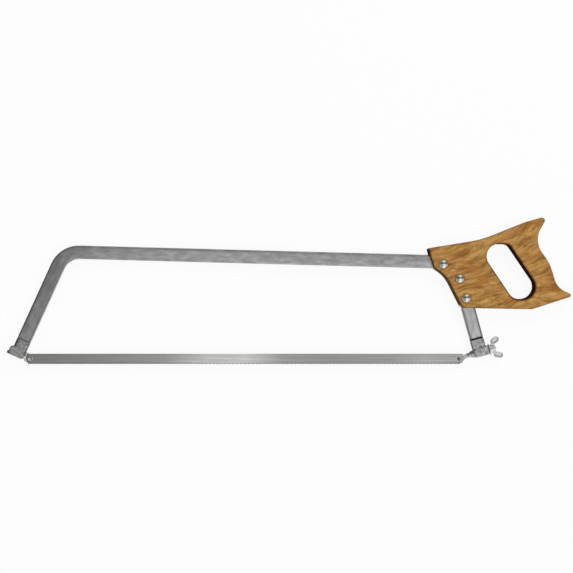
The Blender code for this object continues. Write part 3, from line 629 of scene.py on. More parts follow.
def slab(line, rows):
    """A flat piece: each row (inset, height) is the outline drawn in by the inset, at the height."""
    points, headings = line
    inset, height = np.array(rows).T[:, :, None, None]
    return raised(points - outward(headings) * inset, height)


def turned(profile):
    """A profile of (along, radius) carried round the X axis: (along, radius cos t, radius sin t)."""
    along, radius = np.array(profile).T[:, :, None]
    turn = np.linspace(0, math.tau, ROUND_STEPS, endpoint=False)
    return np.stack((along + 0 * turn, radius * np.cos(turn), radius * np.sin(turn)), axis=2)


def grid_faces(points, close_rows, cap):
    """Quads over a grid whose columns run round; rows run round too, or end in flat caps."""
    rows, columns = points.shape[:2]
    index = np.arange(rows * columns).reshape(rows, columns)
    if close_rows:
        index = np.vstack((index, index[:1]))
    index = np.hstack((index, index[:, :1]))
    quads = np.stack((index[:-1, :-1], index[:-1, 1:], index[1:, 1:], index[1:, :-1]), axis=2)
    faces = quads.reshape(-1, 4).tolist()
    if cap:
        faces += [index[0, -2::-1].tolist(), index[-1, :-1].tolist()]
    return faces


def shell(points, close_rows=False, cap=False, tube_place=None):
    """A closed mesh from a grid, with doubled points merged and every face turned outwards."""
    mesh = bpy.data.meshes.new("shell")
    mesh.from_pydata(points.reshape(-1, 3).tolist(), [], grid_faces(points, close_rows, cap))
    if tube_place is not None:
        layer = mesh.attributes.new("tube_place", "FLOAT_VECTOR", "POINT")
        layer.data.foreach_set("vector", tube_place.astype(np.float32).ravel())
    shape = bmesh.new()
    shape.from_mesh(mesh)
    bmesh.ops.remove_doubles(shape, verts=shape.verts, dist=SAME_PLACE)
    bmesh.ops.triangulate(shape, faces=[face for face in shape.faces if len(face.verts) > 4])
    bmesh.ops.recalc_face_normals(shape, faces=shape.faces)
    shape.to_mesh(mesh)
    shape.free()
    return mesh


def in_end_frame(points, origin, along):
    """Points given along a boss, up its arm and towards the viewer, as points of the saw."""
    level = origin + points[..., :1] * along + points[..., 1:2] * left_of(along)
    return np.concatenate((level, points[..., 2:] + MIDDLE), axis=-1)


def upright(points, place):
    """Points turned round the X axis, stood up on a place in plan."""
    return np.concatenate((place + points[..., 1:], points[..., :1] + MIDDLE), axis=-1)


def rod(radius, reach):
    """A plain rod along X, to the reach either way."""
    return turned(((-reach, 0), (-reach, radius), (reach, radius), (reach, 0)))


def drill(radius, place, reach=TUBE_BREADTH):
    """A rod that cuts a hole through the saw at a place in plan."""
    return shell(upright(rod(radius, reach), place))


def bore(radius, reach, origin, along):
    """A rod that cuts a bore along a boss, with a running fit."""
    return shell(in_end_frame(rod(radius + RUNNING_FIT, reach), origin, along))


def placed(name, data):
    """A new object in the scene."""
    obj = bpy.data.objects.new(name, data)
    bpy.context.scene.collection.objects.link(obj)
    return obj


def modified(mesh, *changes):
    """The mesh after modifiers, each given as its type and its settings."""
    obj = placed("worked", mesh)
    for kind, settings in changes:
        modifier = obj.modifiers.new(kind, kind)
        for name, value in settings.items():
            setattr(modifier, name, value)
    graph = bpy.context.evaluated_depsgraph_get()
    result = obj.evaluated_get(graph)
    made = bpy.data.meshes.new_from_object(result, preserve_all_data_layers=True, depsgraph=graph)
    bpy.data.objects.remove(obj)
    return made


def carved(mesh, *cutters):
    """The mesh with each cutter's solid taken out of it."""
    for cutter in cutters:
        tool = placed("cutter", cutter)
        cut = {"operation": "DIFFERENCE", "solver": "MANIFOLD", "object": tool}
        mesh = modified(mesh, ("BOOLEAN", cut))
        bpy.data.objects.remove(tool)
    return mesh


def melted(solids, voxel, smoothing, rough=None):
    """Overlapping solids made one skin of even facets, smoothed, and roughened by a cloud texture."""
    shape = bmesh.new()
    for solid in solids:
        shape.from_mesh(solid)
    mesh = bpy.data.meshes.new("melted")
    shape.to_mesh(mesh)
    shape.free()
    changes = [
        ("REMESH", {"mode": "VOXEL", "voxel_size": voxel}),
        ("SMOOTH", {"factor": 0.5, "iterations": smoothing}),
    ]
    if rough is not None:
        changes.append(("DISPLACE", {"texture": rough, "strength": CAST_ROUGHNESS}))
    return modified(mesh, *changes, ("TRIANGULATE", {}))


def values_of(layer, field):
    """A layer of points, normals or vectors as one array."""
    found = np.empty(3 * len(layer), np.float32)
    layer.foreach_get(field, found)
    return found.reshape(-1, 3)


def set_shade_and_grime(mesh, share):
    """Gives a mesh the share of its darkening at each point, by grime and by painted shade."""
    layer = mesh.attributes.new("shade_and_grime", "FLOAT", "POINT")
    layer.data.foreach_set("value", np.ascontiguousarray(share, np.float32).ravel())


def faded(distance, reach):
    """1 at no distance, falling smoothly to 0 at the reach: s * s * (3 - 2 s) of the share s left."""
    share = np.clip(1 - distance / reach, 0, 1)
    return share * share * (3 - 2 * share)


def joint_soil(distance):
    """Grime packed at the joint of tube and casting, even close to it and then fading."""
    return np.clip(JOINT_PACK * faded(distance, JOINT_REACH), 0, 1)


def seen_edges(mesh):
    """1 on a mesh's rounded edges, less on its sides and 0 on its faces: from the tilt of its normals."""
    tilt = 1 - np.abs(values_of(mesh.vertex_normals, "vector")[:, 2])
    side = np.clip((tilt - SIDE_TILT) / (1 - SIDE_TILT), 0, 1)
    return np.clip(tilt / EDGE_TILT, 0, 1) * (1 - (1 - SIDE_SHARE) * side)


def piece(name, mesh, finish, body, slot, *nodes):
    """Shows a mesh as a piece of the saw that rides on a body and stands for CAD nodes."""
    mesh.name = name
    mesh.materials.clear()
    mesh.materials.append(finish)
    mesh.shade_smooth()
    mesh.set_sharp_from_angle(angle=SHARP_ANGLE)
    obj = placed(name, mesh)
    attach(obj, body)
    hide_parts(*nodes)


def make_frame_tube():
    """A rounded rectangular section carried along arm, bend, spine, bend and arm, outside then inside.

    Each row is path + left * across at the height through, and the ends are softened by a small inset.
    """
    ends = ((*FRONT_TUBE_END, 0), (*REAR_TUBE_END, 0))
    bends = ((*FRONT_CORNER, FRONT_BEND), (*REAR_CORNER, REAR_BEND))
    path, headings = rounded_line((ends[0], *bends, ends[1]), closed=False, spacing=TUBE_STATION)
    near = np.array(TUBE_END_STATIONS)[:, None]
    first = path[0] + near * plan(headings[0])
    last = path[-1] - near[::-1] * plan(headings[-1])
    path = np.vstack((path[:1], first, path[1:-1], last, path[-1:]))
    headings = np.pad(headings, len(near), mode="edge")
    steps = np.linalg.norm(np.diff(path, axis=0), axis=1)
    along = np.concatenate(([0], np.cumsum(steps)))
    from_end = np.minimum(along, along[-1] - along)
    inset = TUBE_END_ROUND * np.clip(1 - from_end / TUBE_END_ROUND, 0, 1) ** 2
    section, turns = rounded_oblong(HALF_DEPTH, HALF_BREADTH, TUBE_CORNER, TUBE_CORNER)
    section[:, 1] *= 1 - TUBE_CROWN / HALF_BREADTH * (section[:, 0] / HALF_DEPTH) ** 2
    order = np.concatenate((np.arange(len(path)), np.arange(len(path))[::-1]))
    depth_in = np.concatenate((inset, np.full(len(path), TUBE_WALL)))
    rows = section - outward(turns) * depth_in[:, None, None]
    across, through = rows[..., 0], rows[..., 1]
    left = -outward(headings[order])[:, None, :]
    level = path[order][:, None, :] + left * across[..., None]
    points = np.concatenate((level, through[..., None] + MIDDLE), axis=2)
    far = np.broadcast_to(along[order][:, None], across.shape)
    mesh = shell(points, close_rows=True, tube_place=np.stack((far, across, through), axis=2))
    mesh = carved(mesh, *[drill(BOLT_RADIUS + RUNNING_FIT, place) for place in BOLTS])
    far, across, through = values_of(mesh.attributes["tube_place"].data, "vector").T
    # painted shade on the corners and along the tube, and grime at the joints
    broad, narrow = TUBE_CORNER_SHADE_REACH
    corner = faded(HALF_DEPTH - np.abs(across), broad) * faded(HALF_BREADTH - np.abs(through), narrow)
    joints = np.maximum(FRONT_JOINT * joint_soil(far), joint_soil(along[-1] - far))
    broad_shade = np.interp(far, *np.transpose(TUBE_SHADE))
    edge = np.interp(far, *np.transpose(TUBE_CORNER_SHADE))
    set_shade_and_grime(mesh, np.maximum(edge * corner, np.maximum(joints, broad_shade)))
    piece("bent_tube", mesh, PLATED_STEEL, "frame", "plated_tube", "frame_tube")


def mortise_line():
    """In plan, the tube's outer side round the rear bend and all that lies inside it."""
    reach = HALF_DEPTH + FIT
    spine_side = SPINE_START + left_of(SPINE_HEADING) * reach
    corner = crossing(spine_side, SPINE_HEADING, REAR_AXIS + REAR_ALONG * reach, REAR_UP)
    start = corner - SPINE_HEADING * MORTISE_LEAD
    end = corner - REAR_UP * MORTISE_LEAD
    inner = REAR_CORNER - SPINE_HEADING * MORTISE_LEAD - REAR_UP * MORTISE_LEAD
    return rounded_line(((*start, FIT), (*inner, FIT), (*end, FIT), (*corner, REAR_BEND + reach)))


def painted_edge_shade(mesh):
    """Painted shade on a handle's edges that look away from the light: full on the slot's wall and the
    front edge.

    The share of a point follows how far its normal lies over from the face, to a power: on the outside
    times which way it looks, and in the slot by how far up it looks, deepest round the lower end. Points
    round the slot are those between its left and right sides, and a margin.
    """
    x, y = (values_of(mesh.vertices, "co")[:, :2] - REAR_CORNER).T
    normal = values_of(mesh.vertex_normals, "vector")[:, :2]
    over = np.linalg.norm(normal, axis=1)
    to_front = -normal @ plan(GRAIN_ANGLE) / np.maximum(over, FLAT_NORMAL)
    front = np.clip((to_front - FRONT_SHADE_FROM) / FRONT_SHADE_SPAN, EDGE_SHADE, 1)
    (top_left, top, _), (low_left, low, _), (low_right, _, _), (top_right, _, _) = HAND_SLOT
    left = np.interp(y, (low, top), (low_left, top_left))
    right = np.interp(y, (low, top), (low_right, top_right))
    margin = HAND_SLOT_EDGE
    in_slot = (x > left - margin) & (x < right + margin) & (y > low - margin) & (y < top + margin)
    power = SLOT_POWER - SLOT_POWER_FALL * normal[:, 1] / np.maximum(over, FLAT_NORMAL)
    return np.where(in_slot, over**power, over**EDGE_SHADE_POWER * front)


def make_handle():
    """A board with a rounded edge all round and a hand slot, as one ring of rows.

    Every point of the outline looks to the middle of the slot and meets the slot's line there. Rows go
    up the outer side, over its quarter-round edge, straight across the face to the slot, down over the
    slot's edge and wall, and back along the far face: outline * (1 - share) + slot line * share.
    """
    points, headings = rounded_line(HANDLE_OUTLINE, spacing=HANDLE_STATION)
    slot, slot_headings = rounded_line(HAND_SLOT, spacing=HANDLE_STATION)
    middle = (slot.min(axis=0) + slot.max(axis=0)) / 2
    view, slot_view = (np.arctan2(*(line - middle).T[::-1]) for line in (points, slot))
    around = np.hstack((slot, outward(slot_headings)))
    met = np.stack([np.interp(view, slot_view, column, period=math.tau) for column in around.T], 1)
    slot_point, slot_out = met[:, :2], met[:, 2:]
    edge_in, edge_height = quarter_round(HANDLE_HALF, HANDLE_EDGE, HANDLE_EDGE)
    slot_in, slot_height = np.flip(quarter_round(HANDLE_HALF, HAND_SLOT_EDGE, HAND_SLOT_EDGE), axis=1)
    face = np.ones(len(FACE_SHARES))
    outside = np.zeros(len(edge_in))
    inset = np.concatenate((edge_in, HANDLE_EDGE * face, outside))
    share = np.concatenate((outside, FACE_SHARES, outside + 1))
    ring = np.concatenate((outside, HAND_SLOT_EDGE * face, slot_in))
    height = np.concatenate((edge_height, HANDLE_HALF * face, slot_height))
    inset, share, ring = (np.concatenate((row, row[::-1]))[:, None, None] for row in (inset, share, ring))
    height = np.concatenate((height, -height[::-1]))[:, None, None]
    level = (points - outward(headings) * inset) * (1 - share) + (slot_point + slot_out * ring) * share
    board = shell(raised(level + REAR_CORNER, height + MIDDLE), close_rows=True)
    mortise = slab(mortise_line(), ((0, -HALF_BREADTH - FIT), (0, HALF_BREADTH + FIT)))
    mortise[..., 2] += MIDDLE
    bolt = BOLT_RADIUS + RUNNING_FIT
    sleeve = NUT_SLEEVE_RADIUS + RUNNING_FIT
    head = NUT_HEAD_RADIUS + RUNNING_FIT
    floor = -HANDLE_HALF + NUT_HEAD_THICKNESS + 2 * FIT
    far = 2 * HANDLE_HALF
    bolt_side = ((far, 0), (far, bolt), (0, bolt), (0, sleeve))
    stepped = turned((*bolt_side, (floor, sleeve), (floor, head), (-far, head), (-far, 0)))
    drills = [shell(upright(stepped, place)) for place in BOLTS]
    grip = carved(board, shell(mortise, cap=True), *drills)
    # painted shade on the handle's edges that look away from the light
    set_shade_and_grime(grip, painted_edge_shade(grip))
    piece("grip", grip, OAK, "frame", "hardwood", "handle")


def make_bolt(number, place):
    """A domed head on a plain shank: the dome is an arc of a sphere, its foot a short upright rim."""
    seat = HANDLE_HALF + FIT / 3
    rise = BOLT_HEAD_HEIGHT - BOLT_HEAD_RIM
    sphere = (BOLT_HEAD_RADIUS**2 + rise**2) / (2 * rise)
    turn = np.linspace(0, math.asin(BOLT_HEAD_RADIUS / sphere), DOME_STEPS)
    top = HANDLE_HALF + FIT + BOLT_HEAD_HEIGHT - sphere
    dome = np.stack((top + sphere * np.cos(turn), sphere * np.sin(turn)), 1)
    end = -HANDLE_HALF + FIT + NUT_FLOOR + FIT
    foot = ((seat, BOLT_HEAD_RADIUS), (seat, BOLT_RADIUS), (end, BOLT_RADIUS), (end, 0))
    mesh = shell(upright(turned(np.vstack((dome, foot))), place))
    piece(f"domed_bolt_{number}", mesh, CHROME, "frame", "chrome", f"handle_bolt_{number}")


def make_nut(number, place):
    """A sleeve nut: a flat slotted head with a broken edge, and a sleeve that reaches in to the bolt."""
    bottom = -HANDLE_HALF + FIT
    shoulder = bottom + NUT_HEAD_THICKNESS
    floor = bottom + NUT_FLOOR
    top = -HALF_BREADTH - FIT
    hole = BOLT_RADIUS + RUNNING_FIT
    inside = ((floor, 0), (floor, hole), (top, hole))
    outside = (
        (top, NUT_SLEEVE_RADIUS),
        (shoulder, NUT_SLEEVE_RADIUS),
        (shoulder, NUT_HEAD_RADIUS),
        (bottom + FIT, NUT_HEAD_RADIUS),
        (bottom, NUT_HEAD_RADIUS - FIT),
        (bottom, 0),
    )
    slot_line = rounded_oblong(2 * NUT_HEAD_RADIUS, NUT_SLOT_WIDTH / 2, FIT)
    slot_cut = slab(slot_line, ((0, bottom - NUT_SLOT_DEPTH), (0, bottom + NUT_SLOT_DEPTH)))
    slot_cut += (*place, MIDDLE)
    mesh = carved(shell(upright(turned((*inside, *outside)), place)), shell(slot_cut, cap=True))
    piece(f"sleeve_nut_{number}", mesh, CHROME, "frame", "chrome", f"handle_nut_{number}")


def make_blade():
    """The outline of the blade, teeth set to either side in turn, drawn in twice on each face.

    Rows: the inner lines on the back face, the outline at the back, the outline at the front and the
    inner lines on the front face. The set lifts a tooth's point and leaves the gullets level.
    """
    left, right = BLADE_LOW.x, BLADE_HIGH.x
    middle = (BLADE_LOW.y + BLADE_HIGH.y) / 2
    back = BLADE_WIDTH / 2
    first = left + TOOTH_CLIP[0]
    last = right - TOOTH_CLIP[0]
    teeth = int((last - first) / TOOTH_PITCH)
    start = first + TOOTH_PITCH * np.arange(teeth)
    side = np.where(np.arange(teeth) % 2, TOOTH_SET, -TOOTH_SET)
    level = np.zeros(teeth)
    gullets = np.stack((start, level - back + TOOTH_DEPTH, level), 1)
    points = np.stack((start + TOOTH_LEAD, level - back, side), 1)
    saw_edge = np.stack((gullets, points), 1).reshape(-1, 3)
    rear = (
        (first + teeth * TOOTH_PITCH, -back + TOOTH_DEPTH, 0),
        (last, -back + TOOTH_DEPTH + FIT, 0),
        (right, -back + TOOTH_CLIP[1], 0),
        (right, back - BACK_CLIP[1], 0),
        (right - BACK_CLIP[0] / 4, back - BACK_CLIP[1] / 4, 0),
    )
    back_edge = np.linspace((right - BACK_CLIP[0], back, 0), (left + BACK_CLIP[0], back, 0), teeth)
    front = (
        (left + BACK_CLIP[0] / 4, back - BACK_CLIP[1] / 4, 0),
        (left, back - BACK_CLIP[1], 0),
        (left, -back + TOOTH_CLIP[1], 0),
    )
    outline = np.vstack((saw_edge, rear, back_edge, front))
    lines = []
    for share, end in BLADE_LINES:
        line = outline * (1, share, 0)
        line[:, 0] = np.clip(outline[:, 0], left + end, right - end)
        lines.append(line)
    half = np.array((0, 0, BLADE_THICKNESS / 2))
    low = [line - half for line in (*lines, outline)]
    high = [line + half for line in (outline, *lines[::-1])]
    rows = np.stack((*low, *high)) + (0, middle, MIDDLE)
    holes = ((left + BLADE_FRONT_END, middle), (right - BLADE_REAR_END, middle))
    drills = [drill(BLADE_HOLE_RADIUS, np.array(hole), BLADE_WIDTH) for hole in holes]
    mesh = carved(shell(rows, cap=True), *drills)
    # painted shade and a painted highlight along the blade, and darker along its edges
    x, y = values_of(mesh.vertices, "co").T[:2]
    rim = faded(back - np.abs(y - middle), BLADE_RIM)
    share = np.where(y > middle, BACK_RIM_SHARE, TOOTH_RIM_SHARE)
    broad_shade = np.interp(x - left, *np.transpose(BLADE_SHADE_AND_HIGHLIGHT))
    set_shade_and_grime(mesh, broad_shade + (1 - broad_shade) * share * rim)
    piece("toothed_blade", mesh, GROUND_STEEL, "blade", "blade_steel", "blade")


def arm_bar(origin, along):
    """The bar of a casting: the tube's section carried up the arm, its shoulder rounded under the tube.

    On top of it stands the spigot, which fits inside the tube.
    """
    top = CASTING_LENGTH - FIT
    shoulder = ((SHOULDER_ROUND / 3, top - SHOULDER_ROUND / 3), (SHOULDER_ROUND, top))
    bar_line = rounded_oblong(HALF_DEPTH, HALF_BREADTH, TUBE_CORNER)
    bar = slab(bar_line, ((0, BOSS_HALF), (0, top - SHOULDER_ROUND), *shoulder))
    inset = TUBE_WALL + FIT
    spigot_line = rounded_oblong(HALF_DEPTH - inset, HALF_BREADTH - inset, FIT)
    spigot = slab(spigot_line, ((0, BOSS_HEIGHT), (0, CASTING_LENGTH + SPIGOT_LENGTH)))
    return [shell(in_end_frame(grid[..., (0, 2, 1)], origin, along), cap=True) for grid in (bar, spigot)]


def boss(corners, origin, along):
    """A casting's boss: its outline across the arm with soft edges on both faces."""
    grid = slab(rounded_line(corners), edge_rows(BOSS_BREADTH / 2, BOSS_SWELL, CASTING_EDGE))
    return shell(in_end_frame(grid, origin, along), cap=True)


def casting_shade_and_grime(mesh, origin, along, joint, broad_shade=0.0, nose=0.0, flank=0.0, pits=()):
    """Grime and painted shade on a casting, as the deepest of what its parts carry.

    Painted shade lies on the edges, all over as given, on top of the nose and on the flank away from the
    blade.
    It is dark too in the pits, and grime lies, as deep as given, at the joint with the tube.
    """
    up = left_of(along)
    place = values_of(mesh.vertices, "co")[:, :2] - origin
    out, height = place @ along, place @ up
    normal = values_of(mesh.vertex_normals, "vector")
    # painted shade on the rounded edges of the bar and the underside
    sides = faded(HALF_DEPTH - np.abs(out), BAR_EDGE_REACH) * faded(out - HALF_DEPTH, SHADE_FADE)
    outer = np.maximum(sides, faded(height + BOSS_HALF, UNDERSIDE_REACH))
    shade_and_grime = np.maximum(CASTING_EDGE_SHADE * outer * seen_edges(mesh), broad_shade)
    beside_arm = faded(height - BOSS_HALF, SHADE_FADE)
    # painted shade on top of the nose, where it looks up
    on_nose = nose * faded(out + NOSE_TIP - NOSE_REACH, SHADE_FADE) * beside_arm
    shade_and_grime += on_nose * (np.clip(normal[:, :2] @ up, 0, 1) - shade_and_grime)
    # painted shade on the flank away from the blade
    faces = np.interp(np.abs(normal[:, 2]), FLANK_TILT, (SIDE_SHADE, 1))
    on_flank = flank * (1 - beside_arm) * faces * faded(out + HALF_DEPTH, FLANK_REACH)
    shade_and_grime = np.maximum(shade_and_grime, on_flank)
    for *pit, reach in pits:
        from_pit = np.linalg.norm(np.stack((out, height), 1) - pit, axis=1)
        shade_and_grime = np.maximum(shade_and_grime, PIT_GRIME * faded(from_pit, reach))
    from_joint = np.abs(height + BOSS_HALF - CASTING_LENGTH)
    return np.maximum(shade_and_grime, joint * joint_soil(from_joint))


def make_castings():
    """Bars, bosses, the front foot and the rear nose, melted into two rough castings and bored."""
    skin = bpy.data.textures.new("cast_skin", "CLOUDS")
    skin.noise_scale = CAST_GRAIN
    base = FRONT_AXIS - FRONT_UP * BOSS_HALF
    front_boss = (
        (-FOOT_OUT, 0, CASTING_EDGE),
        (FRONT_BOSS_IN, 0, CASTING_EDGE),
        (FRONT_BOSS_IN, BOSS_HEIGHT, CASTING_EDGE),
        (-FRONT_BOSS_OUT, BOSS_HEIGHT, CASTING_EDGE),
        (-FRONT_BOSS_OUT, FOOT_HEIGHT, FIT),
        (-FOOT_OUT, FOOT_HEIGHT, FIT),
    )
    solids = [*arm_bar(base, FRONT_ALONG), boss(front_boss, base, FRONT_ALONG)]
    cutter = bore(SHANK_RADIUS, 2 * FOOT_OUT, FRONT_AXIS, FRONT_ALONG)
    mesh = carved(melted(solids, MELT_VOXEL, FRONT_SMOOTHING, skin), cutter)
    front_darkening = {"broad_shade": FRONT_CAST_SHADE, "flank": FLANK_SHADE, "pits": FRONT_PITS}
    set_shade_and_grime(mesh, casting_shade_and_grime(mesh, FRONT_AXIS, FRONT_ALONG, FRONT_JOINT, **front_darkening))
    piece("front_end_casting", mesh, CAST_STEEL, "frame", "casting", "front_casting")

    base = REAR_AXIS - REAR_UP * BOSS_HALF
    rear_boss = (
        (-REAR_BOSS_IN, 0, CASTING_EDGE),
        (REAR_BOSS_OUT, 0, CASTING_EDGE),
        (REAR_BOSS_OUT, BOSS_HEIGHT, CASTING_EDGE),
        (HALF_DEPTH - CASTING_EDGE, BOSS_HEIGHT + REAR_SHOULDER, CASTING_EDGE),
        (-REAR_BOSS_IN, BOSS_HEIGHT, CASTING_EDGE),
    )
    root = BOSS_HALF - CASTING_EDGE / 3
    tip = ((-NOSE_TIP + FIT, NOSE_TIP_RADIUS), (-NOSE_TIP, NOSE_TIP_RADIUS - FIT), (-NOSE_TIP, 0))
    nose = turned(((0, 0), (0, root), (-REAR_BOSS_IN, root), *tip))
    solids = [*arm_bar(base, REAR_ALONG), boss(rear_boss, base, REAR_ALONG)]
    solids.append(shell(in_end_frame(nose, REAR_AXIS, REAR_ALONG)))
    cutter = bore(STUD_RADIUS, 2 * NOSE_TIP, REAR_AXIS, REAR_ALONG)
    mesh = carved(melted(solids, MELT_VOXEL, REAR_SMOOTHING, skin), cutter)
    set_shade_and_grime(mesh, casting_shade_and_grime(mesh, REAR_AXIS, REAR_ALONG, 1.0, nose=NOSE_SHADE, pits=REAR_PITS))
    piece("rear_end_casting", mesh, CAST_STEEL, "frame", "casting", "rear_casting")


def forged_tongue(stations, stem, pin, origin, along):
    """A tongue behind the blade melted into a round stem, and drilled for its pin.

    The tongue is given by its x, middle, half width and corner radius at stations, the stem by its profile.
    """
    upper = [(x, middle + half, radius) for x, middle, half, radius in stations]
    lower = [(x, middle - half, radius) for x, middle, half, radius in reversed(stations)]
    grid = slab(rounded_line([*upper, *lower]), edge_rows(TONGUE_THICKNESS / 2, TONGUE_EDGE, TONGUE_EDGE))
    grid[..., 2] += TONGUE_MIDDLE
    solids = [
        shell(in_end_frame(grid, origin, along), cap=True),
        shell(in_end_frame(turned(stem), origin, along)),
    ]
    return carved(melted(solids, FINE_VOXEL, TONGUE_SMOOTHING), drill(PIN_RADIUS + RUNNING_FIT, pin))


def make_front_hook():
    """A shank that flattens to a broad tongue: a rod with a tapered end, melted into the tongue."""
    start = HALF_DEPTH + FIT
    broad = start + HOOK_NECK_LENGTH
    eye = HOOK_EYE_RADIUS
    stations = (
        (FRONT_PIN_REACH + eye, -TONGUE_DROP, eye, eye - FIT),
        (broad, -TONGUE_DROP, eye, HOOK_NECK_LENGTH / 2),
        (start, 0, HOOK_NECK, CASTING_EDGE / 3),
    )
    shank = (
        (-FRONT_BOSS_OUT, 0),
        (-FRONT_BOSS_OUT, SHANK_RADIUS - FIT),
        (-FRONT_BOSS_OUT + FIT, SHANK_RADIUS),
        (start, SHANK_RADIUS),
        (start + SHANK_TAPER / 2, SHANK_RADIUS * SHANK_BLUNT),
        (start + SHANK_TAPER, 0),
    )
    mesh = forged_tongue(stations, shank, FRONT_PIN, FRONT_AXIS, FRONT_ALONG)
    # painted shade on the edges and round the pin
    from_pin = np.linalg.norm(values_of(mesh.vertices, "co")[:, :2] - FRONT_PIN, axis=1)
    round_pin = HOOK_EYE_SHADE * faded(from_pin - BLADE_HOLE_RADIUS, FIT)
    set_shade_and_grime(mesh, np.maximum(HOOK_EDGE_SHADE * seen_edges(mesh), round_pin))
    piece("hook_tongue", mesh, FORGED_STEEL, "frame", "forged_steel", "front_hook")


def make_tension_stud():
    """A threaded stud whose inner end is forged to a waisted tongue.

    The thread's radius is the stud's radius less its depth times a triangle wave of
    along / pitch - turn, so its ridge climbs one pitch in each turn.
    """
    eye = STUD_EYE_RADIUS
    root = -NOSE_TIP - FIT
    waist = root - STUD_RADIUS
    eye_start = -REAR_PIN_REACH + eye / 2
    stations = (
        (root, 0, STUD_RADIUS - FIT, FIT),
        (waist, 0, STUD_WAIST, STUD_RADIUS),
        ((waist + eye_start) / 2, -TONGUE_DROP, STUD_WAIST, STUD_RADIUS),
        (eye_start, -TONGUE_DROP, eye, STUD_RADIUS / 2),
        (-REAR_PIN_REACH - eye, -TONGUE_DROP, eye, eye - FIT),
    )
    neck = (
        (waist, 0),
        (waist + STUD_RADIUS / 4, STUD_RADIUS * STUD_BLUNT),
        (waist + STUD_RADIUS / 2, STUD_RADIUS),
        (-REAR_BOSS_IN, STUD_RADIUS),
        (-REAR_BOSS_IN, 0),
    )
    mesh = forged_tongue(stations, neck, REAR_PIN, REAR_AXIS, REAR_ALONG)
    # painted shade on the edges and where the tongue looks up
    above = np.clip(values_of(mesh.vertex_normals, "vector")[:, :2] @ REAR_UP, 0, 1)
    set_shade_and_grime(mesh, np.maximum(STUD_EDGE_SHADE * seen_edges(mesh), STUD_FILM + STUD_TOP_SHADE * above))
    piece("stud_tongue", mesh, FORGED_STEEL, "tension_stud", "zinc", "tension_stud")

    start = -REAR_BOSS_IN + FIT
    end = NUT_BASE + HUB_LENGTH + STUD_END
    along = np.linspace(start, end, int((end - start) / THREAD_PITCH * THREAD_STEPS))[:, None]
    turn = np.linspace(0, math.tau, ROUND_STEPS // 2, endpoint=False)
    wave = np.abs(2 * ((along / THREAD_PITCH - turn / math.tau) % 1) - 1)
    ends = np.clip(np.minimum(along - start, end - along) / THREAD_PITCH, 0, 1)
    radius = STUD_RADIUS - THREAD_DEPTH * (1 - (1 - wave) * ends)
    radius[[0, -1]] = 0
    grid = np.stack((along + 0 * turn, radius * np.cos(turn), radius * np.sin(turn)), axis=2)
    mesh = shell(in_end_frame(grid, REAR_AXIS, REAR_ALONG))
    piece("stud_thread", mesh, BRIGHT_ZINC, "tension_stud", "zinc")


def make_pin(name, place, finish, body, node):
    """A riveted pin: a straight side and a low dome, hollowed slightly where the punch struck."""
    low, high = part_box(node)
    radius = (high.x - low.x) / 2
    head = [(high.z - PIN_DIMPLE * drop, radius * share) for drop, share in PIN_HEAD]
    foot = ((low.z + FIT / 3, radius), (low.z, radius - FIT / 3), (low.z, 0))
    grid = turned((*head, *foot))
    grid[..., 0] -= MIDDLE
    piece(name, shell(upright(grid, place)), finish, body, "forged_steel", node)


def make_washer():
    """A flat washer with broken edges: a closed profile carried round the stud's axis."""
    hole = STUD_RADIUS + RUNNING_FIT
    bottom = REAR_BOSS_OUT + FIT
    top = bottom + WASHER_THICKNESS
    upper = ((top, hole + FIT), (top, WASHER_RADIUS - FIT), (top - FIT, WASHER_RADIUS))
    lower = ((bottom + FIT, WASHER_RADIUS), (bottom, WASHER_RADIUS - FIT), (bottom, hole + FIT))
    ring = turned((*upper, *lower, (bottom + FIT, hole), (top - FIT, hole)))
    mesh = shell(in_end_frame(ring, REAR_AXIS, REAR_ALONG), close_rows=True)
    piece("flat_washer", mesh, BRIGHT_ZINC, "frame", "zinc", "wing_nut_washer")


